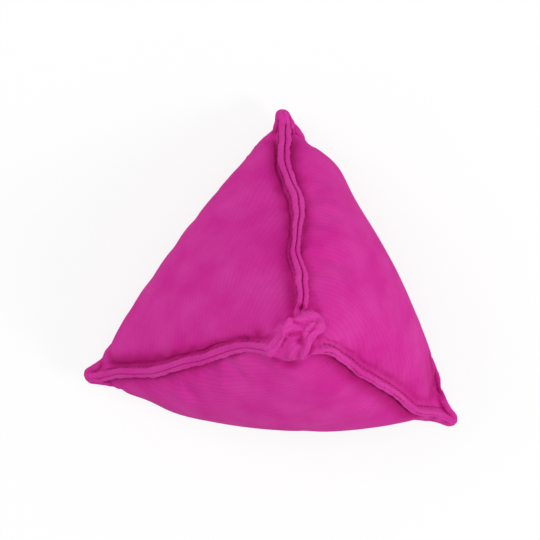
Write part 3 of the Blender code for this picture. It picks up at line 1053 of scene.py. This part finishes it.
@dataclass
class ClothPanel:
    """One panel of twill as a closed sheet: face, folded margins all round, and the inner side."""

    sheet: PanelSheet
    shape: SewnShape
    simulation: SkinSimulation
    face_steps: int = 160
    rim_cuts: int = 2
    smoothing: int = 3
    pucker: float = 0.14 * MM
    pucker_reach: float = 2.6 * MM
    # How far painted shade reaches from each seam, how sharply it fades, and how deep it is in the grooves.
    seam_shade_reach: float = 4.6 * MM
    seam_shade_reach_shares: tuple[float, float] = (0.5, 0.7)
    seam_shade_power: int = 3
    painted_groove_shade: float = 0.5
    ear_wear: float = 0.5
    ear_wear_start: float = 13 * MM
    ear_wear_fade: float = 8 * MM

    INNER = -1
    RIM_TOLERANCE = 1e-5
    PLACE_DIGITS = 6

    def grid(self) -> bpy.types.Object:
        """The panel's topology, with each vertex at its corner shares and its ring's number kept."""
        bm = bmesh.new()
        bm.faces.new([bm.verts.new(row) for row in np.identity(3)])
        bmesh.ops.subdivide_edges(bm, edges=bm.edges[:], cuts=self.face_steps - 1, use_grid_fill=True)
        rim = [e for e in bm.edges if e.is_boundary]
        bmesh.ops.subdivide_edges(bm, edges=rim, cuts=self.rim_cuts, use_single_edge=True)
        ring_layer = bm.verts.layers.int.new("ring")
        rim = [e for e in bm.edges if e.is_boundary]
        inner = bmesh.ops.duplicate(bm, geom=bm.verts[:] + bm.edges[:] + bm.faces[:])
        inner_rim = {}
        for item in inner["geom"]:
            if isinstance(item, bmesh.types.BMVert):
                item[ring_layer] = self.INNER
                if item.is_boundary:
                    inner_rim[item.co.to_tuple(self.PLACE_DIGITS)] = item
        for number in range(1, len(self.sheet.ridge.steps) + 2):
            grown = bmesh.ops.extrude_edge_only(bm, edges=rim)["geom"]
            rim = [item for item in grown if isinstance(item, bmesh.types.BMEdge)]
            turned_in = [item for item in grown if isinstance(item, bmesh.types.BMVert)]
            for vert in turned_in:
                vert[ring_layer] = number
        twins = {vert: inner_rim[vert.co.to_tuple(self.PLACE_DIGITS)] for vert in turned_in}
        bmesh.ops.weld_verts(bm, targetmap=twins)
        bmesh.ops.recalc_face_normals(bm, faces=bm.faces[:])
        return object_of(self.name, bm)

    @property
    def name(self) -> str:
        """The piece's name."""
        return f"{self.sheet.plan.name}_cloth"

    def build(self) -> bpy.types.Object:
        """Makes the panel.

        Returns:
            The finished piece, in place.
        """
        piece = self.grid()
        mesh = piece.data
        shares = vertex_places(mesh)
        rings = np.zeros(len(mesh.vertices), dtype=np.int32)
        mesh.attributes["ring"].data.foreach_get("value", rings)
        on_rim = (shares.min(axis=1) < self.RIM_TOLERANCE) & (rings >= 0)
        face = (rings == 0) & ~on_rim
        places = np.zeros_like(shares)
        places[face] = self.sheet.face(shares[face]) + self.simulation.at(self.sheet.plan.name, shares[face])
        for number in range(len(self.sheet.ridge.steps) + 1):
            at = on_rim & (rings == number)
            places[at] = self.rim_places(shares[at], number)
        outer = np.nonzero(rings == 0)[0]
        inner = np.nonzero(rings == self.INNER)[0]
        places[inner] = places[outer]
        mesh.vertices.foreach_set("co", places.ravel())
        self.smooth(piece, face)
        places = vertex_places(mesh)
        places[face] += self.stitch_puckers(shares[face])
        places = self.shape.pressed(places, self.sheet.reaches(shares))
        places[inner] = places[outer]
        mesh.vertices.foreach_set("co", places.ravel())
        mesh.update()
        self.thicken(mesh, shares, outer, inner, on_rim[outer])
        self.weave_uv(mesh, shares, rings)
        self.add_wear_and_painted_shade(mesh, shares, rings)
        mesh.attributes.remove(mesh.attributes["ring"])
        face_outwards(piece)
        return piece

    def sides_of(self, shares: Array) -> tuple[Array, Array, Array]:
        """For rim vertices: the side's two corners and how far along it."""
        missing = shares.argmin(axis=1)
        first = np.where(missing == 0, 1, 0)
        second = np.where(missing == 2, 1, 2)
        rows = np.arange(len(shares))
        both = shares[rows, first] + shares[rows, second]
        return first, second, np.clip(shares[rows, second] / both, 0, 1)

    def rim_sides(self, shares: Array) -> Iterator[tuple[tuple[int, int], Array, Array, SeamCurve, Array]]:
        """Sorts rim vertices by side.

        Args:
            shares: Their corner shares.

        Yields:
            The side's two corners, which vertices lie on it, how far along it, its seam, and its seam's t.
        """
        first, second, t = self.sides_of(shares)
        for pair, (seam, same_way, _) in self.sheet.sides.items():
            at = (first == pair[0]) & (second == pair[1])
            yield pair, at, t[at], seam, t[at] if same_way else 1 - t[at]

    def rim_places(self, shares: Array, number: int) -> Array:
        """Places of one ring of the margin, where ring 0 is the edge of the face."""
        ridge = self.sheet.ridge
        lateral, height, pull, gap = ridge.steps[number - 1] if number else (ridge.foot, 0.0, 0.0, 0.0)
        above = height > 0
        places = np.zeros_like(shares)
        for pair, at, t, seam, seam_t in self.rim_sides(shares):
            along = seam.distance(seam_t)
            wave = seam.stitch_wave(seam_t)
            loose = 1 - seam.ear_share(seam_t)
            tip = smooth_step(np.minimum(along, seam.length - along) / ridge.tip_round)
            closing = 0.0
            if number > ridge.crest_step:
                closing = np.maximum(seam.plan.closing, ridge.ear_closing * seam.shut(seam_t))
            tall = height + (ridge.height - height) * closing
            tall = tall * (seam.height_scale(seam_t) if above else loose)
            tall = tall * (ridge.tip_height_share + (1 - ridge.tip_height_share) * tip)
            wide = ridge.foot * np.ones(len(seam_t))
            if number:
                uneven = self.roll_unevenness(along, self.sheet.plan.seed + pair[1], loose) if above else 1
                opening = seam.plan.gape * (ridge.held_gape + (1 - ridge.held_gape) * (1 - wave)) * loose
                wide = (lateral * seam.plan.width - pull * wave) * uneven + gap * opening
                wide = wide * (seam.width_scale(seam_t) if above else 1)
                wide = wide * (1 - ridge.closed_narrowing * closing)
                wide = wide * (ridge.tip_width_share + (1 - ridge.tip_width_share) * tip)
            places[at] = self.sheet.margin(pair, t, wide, tall * np.ones(len(seam_t)))
        return places

    def roll_unevenness(self, along: Array, seed: float, loose: Array) -> Array:
        """How much wider or narrower the rolled cloth is along a seam, against its plan."""
        ridge = self.sheet.ridge
        bumps = ripple(along, ridge.roll_wavelength, seed)
        bumps = bumps + ridge.crumple_share * ripple(along, ridge.crumple_wavelength, seed)
        return 1 + ridge.unevenness * bumps * loose

    def stitch_puckers(self, shares: Array) -> Array:
        """Small dimples in the face next to the ridges, one to a stitch."""
        offset = np.zeros((len(shares), 3))
        for pair, (seam, same_way, _) in self.sheet.sides.items():
            across = self.sheet.across(pair, shares)
            both = np.maximum(1 - shares[:, 3 - sum(pair)], TINY)
            t = np.clip(shares[:, pair[1]] / both, 0, 1)
            wave = seam.stitch_wave(t if same_way else 1 - t) - 0.5
            depth = self.pucker * wave * np.exp(-((across / self.pucker_reach) ** 2))
            offset -= self.sheet.normal * depth[:, None]
        return offset

    def smooth(self, piece: bpy.types.Object, face: Array) -> None:
        """Evens out the face, whose lattice is coarser than its grid."""
        bm = bmesh.new()
        bm.from_mesh(piece.data)
        bm.verts.ensure_lookup_table()
        inside = [bm.verts[int(i)] for i in np.nonzero(face)[0]]
        for _ in range(self.smoothing):
            even_out(bm, inside)
        bm.to_mesh(piece.data)
        bm.free()

    def thicken(self, mesh: bpy.types.Mesh, shares: Array, outer: Array, inner: Array, rim: Array) -> None:
        """Sets the inner side one cloth's thickness in from the face.

        Args:
            mesh: The panel's mesh.
            shares: Each vertex's corner shares.
            outer: Numbers of the face's vertices.
            inner: Numbers of their twins on the inner side.
            rim: Which of them lie on the face's edge.
        """
        places = vertex_places(mesh)
        normals = np.zeros(len(mesh.vertices) * 3)
        mesh.vertex_normals.foreach_get("vector", normals)
        normals = normals.reshape(-1, 3)
        facing = np.sign(np.sum(normals[outer][~rim] @ self.sheet.normal))
        places[inner] = places[outer] - normals[outer] * facing * self.sheet.ridge.cloth
        edge = inner[rim]
        places[edge] = self.inner_edge(shares[edge])
        mesh.vertices.foreach_set("co", places.ravel())

    def inner_edge(self, shares: Array) -> Array:
        """The inner side's edge: one cloth's thickness beside the turned-in end of the margin."""
        places = np.zeros_like(shares)
        lateral, height = self.sheet.ridge.steps[-1][:2]
        for pair, at, t, seam, seam_t in self.rim_sides(shares):
            wide = np.full(len(seam_t), lateral + self.sheet.ridge.cloth)
            places[at] = self.sheet.margin(pair, t, wide, height * (1 - seam.ear_share(seam_t)))
        return self.shape.pressed(places, self.sheet.reaches(shares))

    def weave_uv(self, mesh: bpy.types.Mesh, shares: Array, rings: Array) -> None:
        """Lays the cut piece flat as the UV map, in metres, with its margins outside the triangle."""
        lengths = {pair: side[0].length for pair, side in self.sheet.sides.items()}
        a, b, c = lengths[(0, 1)], lengths[(0, 2)], lengths[(1, 2)]
        x = (a * a + b * b - c * c) / (2 * a)
        flat = np.array(((0.0, 0.0), (a, 0.0), (x, sqrt(max(b * b - x * x, TINY)))))
        uv = self.sheet.even_shares(shares) @ flat
        middle = flat.mean(axis=0)
        section = np.array([(self.sheet.ridge.foot, 0.0)] + [step[:2] for step in self.sheet.ridge.steps])
        reach = np.concatenate(((0.0,), np.cumsum(np.linalg.norm(np.diff(section, axis=0), axis=1))))
        rim = np.nonzero(rings > 0)[0]
        first, second, _ = self.sides_of(shares[rim])
        along = unit(flat[second] - flat[first])
        outward = np.column_stack((along[:, 1], -along[:, 0]))
        outward *= np.sign(np.sum(outward * (flat[first] - middle), axis=1))[:, None]
        uv[rim] += outward * reach[rings[rim]][:, None]
        layer = mesh.uv_layers.new(name=WEAVE_UV)
        corners = np.zeros(len(mesh.loops), dtype=np.int32)
        mesh.loops.foreach_get("vertex_index", corners)
        layer.data.foreach_set("uv", uv[corners].ravel())

    def add_wear_and_painted_shade(self, mesh: bpy.types.Mesh, shares: Array, rings: Array) -> None:
        """Keeps wear and painted shade: 1 on a ridge's crest, 0 on the face, -1 where painted shade is
        deepest.

        Args:
            mesh: The finished panel's mesh.
            shares: Each vertex's corner shares.
            rings: Each vertex's ring number.
        """
        ridge = self.sheet.ridge
        heights = np.array([0.0] + [step[1] for step in ridge.steps] + [0.0])
        crest = np.clip(heights[np.maximum(rings, 0)] / ridge.height, 0, 1)
        # Painted shade in the groove between the two rolls.
        shaded_crease = np.where(rings > ridge.crest_step + 1, self.painted_groove_shade, 0.0)
        # Painted shade along the foot of each seam, fading away from it and off the crests.
        for pair, depth in zip(combinations(range(3), 2), self.sheet.plan.painted_seam_shade, strict=True):
            across = self.sheet.across(pair, shares)
            reach = self.seam_shade_reach * (self.seam_shade_reach_shares[0] + self.seam_shade_reach_shares[1] * depth)
            foot_shade = depth * np.exp(-((across / reach) ** self.seam_shade_power)) * (1 - crest) ** 2
            shaded_crease = np.maximum(shaded_crease, foot_shade)
        # Inside the ears the painted shade fades out.
        nearest = np.min(list(self.sheet.reaches(shares).values()), axis=0)
        in_ear = smooth_step((self.ear_wear_start - nearest) / self.ear_wear_fade)
        shaded_crease = shaded_crease * (1 - in_ear)
        places = vertex_places(mesh)
        # Painted shade from the dents that carry it.
        for dent in DENTS:
            shaded_crease = np.maximum(shaded_crease, dent.painted_shade * dent.weight(places))
        # Crests and ears count as wear; painted shade is kept below zero.
        worn_and_shaded = np.maximum(crest, self.ear_wear * in_ear) * (1 - shaded_crease) ** 2 - shaded_crease
        wear_and_shade = mesh.attributes.new(WEAR_AND_SHADE_ATTRIBUTE, "FLOAT", "POINT")
        wear_and_shade.data.foreach_set("value", worn_and_shaded.astype(np.float32))


@dataclass
class SeamStitches:
    """One seam's stitches: needle and bobbin rows along the ridge's waist, and the joining row in its groove.

    waist is how far the outer rows lie beside the ridge's middle, bulge how far a stitch swells out in its
    middle, and sink how deep the joining row lies in the groove's floor.
    """

    seam: SeamCurve
    shape: SewnShape
    radius: float = 0.26 * MM
    waist: float = 1.12 * MM
    bulge: float = 0.30 * MM
    sink: float = 0.1 * MM
    stitch_share: float = 0.47
    sides: int = 8
    rings: int = 6

    def row(self, name: str, row: StitchRow, start: float, end: float) -> bpy.types.Object:
        """One row of stitches.

        Args:
            name: The piece's name.
            row: Which of the seam's threads it is.
            start: Where along the seam it starts, in metres.
            end: Where it ends.

        Returns:
            The row as one piece of separate short stitches.
        """
        ridge = self.seam.ridge
        pitch = ridge.stitch_pitch
        groove_floor = ridge.groove_height + (ridge.height - ridge.groove_height) * self.seam.plan.closing
        lateral, bulge, height, side = {
            StitchRow.NEEDLE: (self.waist, self.bulge, ridge.stitch_height, 1.0),
            StitchRow.BOBBIN: (self.waist, self.bulge, ridge.stitch_height, -1.0),
            StitchRow.JOIN: (0.0, 0.0, groove_floor - self.sink, 1.0),
        }[row]
        wide = np.array((lateral, lateral + bulge, lateral)) * self.seam.plan.width
        bm = bmesh.new()
        bm.loops.layers.uv.new(WEAVE_UV)
        for number in np.arange(np.ceil(start / pitch), np.floor(end / pitch)):
            t = self.seam.t_at((number + 0.5) * pitch + pitch * self.stitch_share * np.array((-1, 0, 1)))
            places = self.seam.place(t, side, wide, np.full(3, height))
            self.stitch(bm, self.shape.pressed(places, self.seam.reaches(t)))
        bmesh.ops.recalc_face_normals(bm, faces=bm.faces[:])
        piece = object_of(name, bm)
        piece.data.shade_smooth()
        LOG.info("%s: %d faces", name, len(piece.data.polygons))
        return piece

    def stitch(self, bm: bmesh.types.BMesh, places: Array) -> None:
        """Adds one stitch as a stretched ball through three places."""
        start, middle, end = (Vector(p) for p in places)
        axis = end - start
        turn = axis.to_track_quat("Z", "Y").to_matrix().to_4x4()
        size = Matrix.Diagonal((self.radius, self.radius, axis.length / 2, 1.0))
        bmesh.ops.create_uvsphere(
            bm,
            u_segments=self.sides,
            v_segments=self.rings,
            radius=1.0,
            matrix=Matrix.Translation(middle) @ turn @ size,
            calc_uvs=True,
        )


@dataclass
class PelletFilling:
    """The loose plastic pellets, as a shell of pellets that lie against the cloth over a heaped core."""

    shape: SewnShape
    steps: int = 26
    inset: float = 4.5 * MM
    corner_inset: float = 0.15
    pellet_radius: float = 1.9 * MM
    pellet_flatness: float = 0.62
    pellet_tilt: float = 0.5
    pellet_sink: float = 0.48 * MM
    pellet_scatter: float = 0.4 * MM
    scatter_steps: tuple[float, float, float] = (2.1, 3.7, 1.3)

    def build(self) -> bpy.types.Object:
        """Makes the filling as one piece."""
        bm = lattice_mesh(self.steps)
        shares = np.array([(1 - sum(v.co), *v.co) for v in bm.verts])
        places = np.zeros((len(shares), 3))
        for panel in self.shape.panels.values():
            inside, rows = lattice_rows(shares, panel.plan.corners)
            rows = self.corner_inset + rows * (1 - 3 * self.corner_inset)
            places[inside] = panel.face(rows) - panel.normal * self.inset
        for vert, place in zip(bm.verts, places):
            vert.co = place
        even_out(bm, bm.verts[:])
        bmesh.ops.recalc_face_normals(bm, faces=bm.faces[:])
        bm.normal_update()
        spots = [(v.co.copy(), v.normal.copy()) for v in bm.verts]
        flat = Matrix.Diagonal((1.0, 1.0, self.pellet_flatness, 1.0))
        for number, (place, normal) in enumerate(spots):
            over, aside, lift = (sin(number * step) for step in self.scatter_steps)
            tilt = Matrix.Rotation(self.pellet_tilt * over, 4, "X")
            tilt = tilt @ Matrix.Rotation(self.pellet_tilt * aside, 4, "Y")
            turn = normal.to_track_quat("Z", "Y").to_matrix().to_4x4()
            seat = Matrix.Translation(place + normal * (self.pellet_scatter * lift - self.pellet_sink))
            laid = seat @ turn @ tilt @ flat
            bmesh.ops.create_icosphere(bm, subdivisions=1, radius=self.pellet_radius, matrix=laid)
        if bm.calc_volume(signed=True) < 0:
            bmesh.ops.reverse_faces(bm, faces=bm.faces[:])
        piece = object_of("pellet_filling", bm)
        piece.data.shade_smooth()
        LOG.info("pellet_filling: %d faces", len(piece.data.polygons))
        return piece


def linear(code: str) -> tuple[float, float, float, float]:
    """An sRGB hex colour in linear light.

    Args:
        code: Six hex digits after a #.

    Returns:
        Red, green, blue and an alpha of one.
    """
    parts = [int(code[i : i + 2], 16) / 255 for i in (1, 3, 5)]
    red, green, blue = (c / 12.92 if c <= 0.04045 else ((c + 0.055) / 1.055) ** 2.4 for c in parts)
    return red, green, blue, 1.0


def add_node(
    tree: Tree, kind: str, inputs: dict[Any, Any] | None = None, **settings: Any
) -> bpy.types.Node:
    """Adds a node.

    Args:
        tree: The material's or world's tree.
        kind: The node's type.
        inputs: Values or sockets by the name or number of the input.
        **settings: Properties of the node.

    Returns:
        The node.
    """
    made = tree.nodes.new(kind)
    for name, value in settings.items():
        setattr(made, name, value)
    for name, value in (inputs or {}).items():
        if isinstance(value, Socket):
            tree.links.new(value, made.inputs[name])
        else:
            made.inputs[name].default_value = value
    return made


def noise(tree: Tree, place: Socket, size: float, detail: float) -> Socket:
    """Noise from 0 to 1 with spots of about one size."""
    return add_node(
        tree, "ShaderNodeTexNoise", {"Vector": place, "Scale": 1 / size, "Detail": detail}
    ).outputs["Fac"]


def sums(tree: Tree, operation: str, *values: Any, clamp: bool = False) -> Socket:
    """The result of one operation on numbers or sockets."""
    made = add_node(tree, "ShaderNodeMath", dict(enumerate(values)), operation=operation, use_clamp=clamp)
    return made.outputs[0]


def blend(tree: Tree, share: Socket, first: Any, second: Any) -> Socket:
    """A colour between two, nearer the second as the share grows. Each is a socket or a hex code."""
    colours = [linear(colour) if isinstance(colour, str) else colour for colour in (first, second)]
    inputs = {0: share, 6: colours[0], 7: colours[1]}
    return add_node(tree, "ShaderNodeMix", inputs, data_type="RGBA").outputs[2]


def bumped(
    tree: Tree, height: Socket, strength: float, distance: float
) -> Socket:
    """Normals of a surface with small heights on it."""
    inputs = {"Strength": strength, "Distance": distance, "Height": height}
    return add_node(tree, "ShaderNodeBump", inputs).outputs["Normal"]


def close_with(tree: Tree, inputs: dict[str, Any]) -> None:
    """Adds a material's main shader with these inputs, and its output."""
    shader = add_node(tree, "ShaderNodeBsdfPrincipled", inputs)
    add_node(tree, "ShaderNodeOutputMaterial", {"Surface": shader.outputs["BSDF"]})


def new_material(name: str) -> tuple[bpy.types.Material, Tree]:
    """A material with an empty tree but for its output."""
    made = bpy.data.materials.new(name)
    made.use_nodes = True
    made.node_tree.nodes.clear()
    return made, made.node_tree


@dataclass(frozen=True)
class TwillFinish:
    """Garment-dyed cotton twill: matte, with fine diagonal wales, a soft nap, slight wash marks and painted
    shade.

    The wales are drawn at 1.6 mm, coarser than the real 0.8 mm, so that they show in the render.
    """

    face: str = "#CE2A95"
    faded: str = "#DB48AA"
    # The deep colour is painted shade for the weave's hollows.
    deep: str = "#B80F77"
    # Painted shade colour for seam feet, grooves, folds and hollows.
    shaded_crease: str = "#A20560"
    wale: float = 1.6
    wale_angle_deg: float = 62.0
    yarn: float = 0.8
    nap: float = 0.35
    nap_height: float = 0.55
    wash: float = 14.0
    crest_fading: float = 0.4
    fading: float = 0.6
    painted_shade_depth: float = 0.9

    WAVE_SCALE = 2 * pi / 20

    def material(self) -> bpy.types.Material:
        """Builds the material."""
        made, tree = new_material("garment_dyed_cotton_twill")
        flat = add_node(tree, "ShaderNodeUVMap", uv_map=WEAVE_UV).outputs["UV"]
        in_mm = (1 / MM, 1 / MM, 1 / MM)
        diagonal = (0, 0, radians(self.wale_angle_deg))
        turned = add_node(tree, "ShaderNodeMapping", {"Vector": flat, "Rotation": diagonal, "Scale": in_mm})
        plain = add_node(tree, "ShaderNodeMapping", {"Vector": flat, "Scale": in_mm}).outputs["Vector"]
        wales = add_node(
            tree,
            "ShaderNodeTexWave",
            {
                "Vector": turned.outputs["Vector"],
                "Scale": self.WAVE_SCALE / self.wale,
                "Distortion": 0.25,
                "Detail": 1.0,
                "Detail Scale": 0.5,
            },
            bands_direction="X",
        ).outputs["Fac"]
        yarns = add_node(
            tree,
            "ShaderNodeTexWave",
            {
                "Vector": plain,
                "Scale": self.WAVE_SCALE / self.yarn,
                "Distortion": 0.3,
                "Detail": 1.0,
                "Detail Scale": 0.8,
            },
            bands_direction="Y",
        ).outputs["Fac"]
        nap = noise(tree, plain, self.nap, 3.0)
        wash = noise(tree, plain, self.wash, 3.0)
        weave = sums(tree, "MULTIPLY", wales, yarns)
        height = sums(tree, "MULTIPLY_ADD", nap, self.nap_height, weave)
        fade = add_node(tree, "ShaderNodeMapRange", {"Value": wash, "From Min": 0.35, "From Max": 0.7})
        worn_and_shaded = add_node(tree, "ShaderNodeAttribute", attribute_name=WEAR_AND_SHADE_ATTRIBUTE).outputs["Fac"]
        wear_and_shade = sums(tree, "MULTIPLY_ADD", worn_and_shaded, self.crest_fading, fade.outputs["Result"], clamp=True)
        tone = blend(tree, sums(tree, "MULTIPLY", wear_and_shade, self.fading), self.face, self.faded)
        # Painted shade: the weave's low points turn towards the deep colour.
        low = add_node(
            tree,
            "ShaderNodeMapRange",
            {"Value": height, "From Min": 0.2, "From Max": 0.9, "To Min": 0.26, "To Max": 0.0},
        ).outputs["Result"]
        weave_with_painted_shade = blend(tree, low, tone, self.deep)
        # Painted shade: below zero, the attribute turns the colour towards the crimson shade colour.
        painted_shade_share = sums(tree, "MULTIPLY", worn_and_shaded, -self.painted_shade_depth, clamp=True)
        close_with(
            tree,
            {
                "Base Color": blend(tree, painted_shade_share, weave_with_painted_shade, self.shaded_crease),
                "Roughness": 0.92,
                "IOR": 1.47,
                "Specular IOR Level": 0.1,
                "Sheen Weight": 0.04,
                "Sheen Roughness": 0.5,
                "Sheen Tint": linear("#E88CCB"),
                "Normal": bumped(tree, height, 0.45, 0.08 * MM),
            },
        )
        return made


@dataclass(frozen=True)
class ThreadFinish:
    """Spun polyester sewing thread, dyed to match: two plies twisted together, with a slight gloss."""

    face: str = "#C41C84"
    deep: str = "#A00F62"
    plies: float = 5.0
    twist_deg: float = 35.0

    def material(self) -> bpy.types.Material:
        """Builds the material."""
        made, tree = new_material("spun_polyester_thread")
        flat = add_node(tree, "ShaderNodeUVMap", uv_map=WEAVE_UV).outputs["UV"]
        turn = {"Rotation": (0, 0, radians(self.twist_deg)), "Scale": (self.plies, self.plies, 1)}
        turned = add_node(tree, "ShaderNodeMapping", {"Vector": flat, **turn}).outputs["Vector"]
        waves = add_node(tree, "ShaderNodeTexWave", {"Vector": turned, "Scale": 0.5, "Distortion": 0.3})
        twist = waves.outputs["Fac"]
        close_with(
            tree,
            {
                "Base Color": blend(tree, twist, self.deep, self.face),
                "Roughness": 0.7,
                "IOR": 1.5,
                "Specular IOR Level": 0.2,
                "Normal": bumped(tree, twist, 0.6, 0.06 * MM),
            },
        )
        return made


@dataclass(frozen=True)
class PelletFinish:
    """Moulded polypropylene pellets: off-white, slightly waxy, with small differences in tone."""

    face: str = "#E6E2D8"
    shade: str = "#CFC9BB"

    def material(self) -> bpy.types.Material:
        """Builds the material."""
        made, tree = new_material("moulded_polypropylene_pellets")
        place = add_node(tree, "ShaderNodeTexCoord").outputs["Object"]
        tones = noise(tree, place, 4 * MM, 1.0)
        pits = noise(tree, place, 0.5 * MM, 2.0)
        close_with(
            tree,
            {
                "Base Color": blend(tree, tones, self.face, self.shade),
                "Roughness": 0.45,
                "IOR": 1.49,
                "Subsurface Weight": 0.1,
                "Subsurface Scale": MM,
                "Normal": bumped(tree, pits, 0.2, 0.05 * MM),
            },
        )
        return made


@dataclass(frozen=True)
class PaperFinish:
    """White seamless studio paper. To the camera it is plain white, darkened only by the bag's soft shadow."""

    colour: str = "#FAFAFA"
    paper_share: float = 0.2

    def material(self) -> bpy.types.Material:
        """Builds the material."""
        made, tree = new_material("seamless_white_paper")
        place = add_node(tree, "ShaderNodeTexCoord").outputs["Object"]
        bump = bumped(tree, noise(tree, place, 2 * MM, 2.0), 0.05, 0.1 * MM)
        inputs = {"Color": linear(self.colour), "Normal": bump}
        paper = add_node(tree, "ShaderNodeBsdfDiffuse", inputs).outputs["BSDF"]
        inputs = {"Color": (1, 1, 1, 1), "Strength": 1.0}
        white = add_node(tree, "ShaderNodeEmission", inputs).outputs["Emission"]
        inputs = {0: self.paper_share, 1: white, 2: paper}
        seen = add_node(tree, "ShaderNodeMixShader", inputs).outputs["Shader"]
        rays = add_node(tree, "ShaderNodeLightPath").outputs
        mirrored = sums(tree, "MAXIMUM", rays["Is Glossy Ray"], rays["Is Transmission Ray"])
        direct = sums(tree, "MAXIMUM", rays["Is Camera Ray"], mirrored)
        both = add_node(tree, "ShaderNodeMixShader", {0: direct, 1: paper, 2: seen}).outputs["Shader"]
        add_node(tree, "ShaderNodeOutputMaterial", {"Surface": both})
        return made


@dataclass
class Studio:
    """The photograph's setting: a camera high over white paper, with soft light from the right."""

    camera_place: Triple = (4.5 * MM, 96.9 * MM, 1004 * MM)
    aim: Triple = (-1.2 * MM, 12.5 * MM, 30 * MM)
    lens: float = 198.0
    near_clip: float = 0.01
    floor_size: float = 1.5
    world_strength: float = 0.5
    lit_place: Triple = (0.0, 0.0, 0.04)
    lamps: tuple[tuple[str, Triple, float, float], ...] = (
        ("key_lamp", (1.0, -0.3, 0.85), 0.4, 6.4),
        ("top_lamp", (0.0, 0.2, 1.5), 0.6, 5.2),
        ("fill_lamp", (-0.9, 0.4, 1.0), 0.7, 3.6),
    )

    def build(self) -> None:
        """Sets up floor, world, lamps and camera."""
        bm = bmesh.new()
        bmesh.ops.create_grid(bm, x_segments=1, y_segments=1, size=self.floor_size)
        floor = object_of("studio_floor", bm)
        floor.data.materials.append(PaperFinish().material())
        floor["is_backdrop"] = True
        world = bpy.data.worlds.new("studio_light")
        world.use_nodes = True
        sky = world.node_tree.nodes["Background"].inputs
        sky["Color"].default_value = (1, 1, 1, 1)
        sky["Strength"].default_value = self.world_strength
        bpy.context.scene.world = world
        for lamp in self.lamps:
            self.lamp(*lamp)
        self.camera()
        bpy.context.scene.view_settings.view_transform = "Standard"

    def lamp(self, name: str, place: Triple, size: float, power: float) -> None:
        """Adds a soft box that faces the bag."""
        data = bpy.data.lights.new(name, "AREA")
        data.size = size
        data.energy = power
        lamp = bpy.data.objects.new(name, data)
        lamp.location = place
        away = Vector(self.lit_place) - Vector(place)
        lamp.rotation_euler = away.to_track_quat("-Z", "Y").to_euler()
        bpy.context.scene.collection.objects.link(lamp)

    def camera(self) -> None:
        """Adds the camera, which looks almost straight down with the rear corner up."""
        data = bpy.data.cameras.new("studio_camera")
        data.lens = self.lens
        data.clip_start = self.near_clip
        camera = bpy.data.objects.new("studio_camera", data)
        camera.location = self.camera_place
        away = Vector(self.aim) - Vector(self.camera_place)
        camera.rotation_euler = (atan2(away.y, -away.z), -atan2(away.x, -away.z), 0)
        bpy.context.scene.collection.objects.link(camera)
        bpy.context.scene.camera = camera


@dataclass
class BeanBag:
    """The whole bag: four cloth panels, six stitched seams and the pellets."""

    shape: SewnShape = field(default_factory=SewnShape)
    flat_width: float = 136 * MM
    flat_length: float = 118 * MM
    fill: float = 0.9
    end_gap: float = 4.0 * MM
    peak_gap: float = 12.0 * MM

    def build(self) -> None:
        """Builds and dresses every piece."""
        simulation = SkinSimulation(self.shape)
        simulation.run()
        twill, thread = TwillFinish().material(), ThreadFinish().material()
        filling = PelletFilling(self.shape).build()
        self.dress(filling, PelletFinish().material(), "pellet_fill")
        for name, sheet in self.shape.panels.items():
            piece = ClothPanel(sheet, self.shape, simulation).build()
            self.dress(piece, twill, name)
        for seam in self.shape.seams.values():
            self.sew(seam, thread)

    def sew(self, seam: SeamCurve, thread: bpy.types.Material) -> None:
        """Adds one seam's rows of stitches."""
        maker = SeamStitches(seam, self.shape)
        starts_at_peak = seam.plan.first is Corner.PEAK
        whole = (self.peak_gap if starts_at_peak else self.end_gap, seam.length - self.end_gap)
        name = seam.plan.name
        for row in (StitchRow.NEEDLE, StitchRow.BOBBIN):
            piece = maker.row(f"{name}_{row.value}_stitches", row, *whole)
            self.dress(piece, thread, f"{name}_{row.value}_thread")
        runs = {"": whole}
        if name == MOUTH_SEAM:
            middle = seam.length / 2
            mouth = (middle - MOUTH_LENGTH / 2, middle + MOUTH_LENGTH / 2)
            runs = {"_left": (whole[0], mouth[0]), "_right": (mouth[1], whole[1])}
        for suffix, run in runs.items():
            piece = maker.row(f"{name}_join_stitches{suffix}", StitchRow.JOIN, *run)
            self.dress(piece, thread, f"{name}_join_thread{suffix}")

    def dress(self, piece: bpy.types.Object, material: bpy.types.Material, node: str) -> None:
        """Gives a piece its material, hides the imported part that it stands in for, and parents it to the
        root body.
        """
        piece.data.materials.append(material)
        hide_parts(node)
        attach(piece, "root")


def write_sizes() -> None:
    """Gathers the CAD box and the visual model's box, but keeps neither."""
    boxes = {"cad": CAD_BOX, "visual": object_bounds()}
    {name: [list(map(float, corner)) for corner in box] for name, box in boxes.items()}


def main() -> None:
    """Builds the bag and its studio."""
    logging.basicConfig(level=logging.INFO, format="%(name)s: %(message)s")
    BeanBag().build()
    Studio().build()
    write_sizes()


if __name__ == "__main__":
    main()
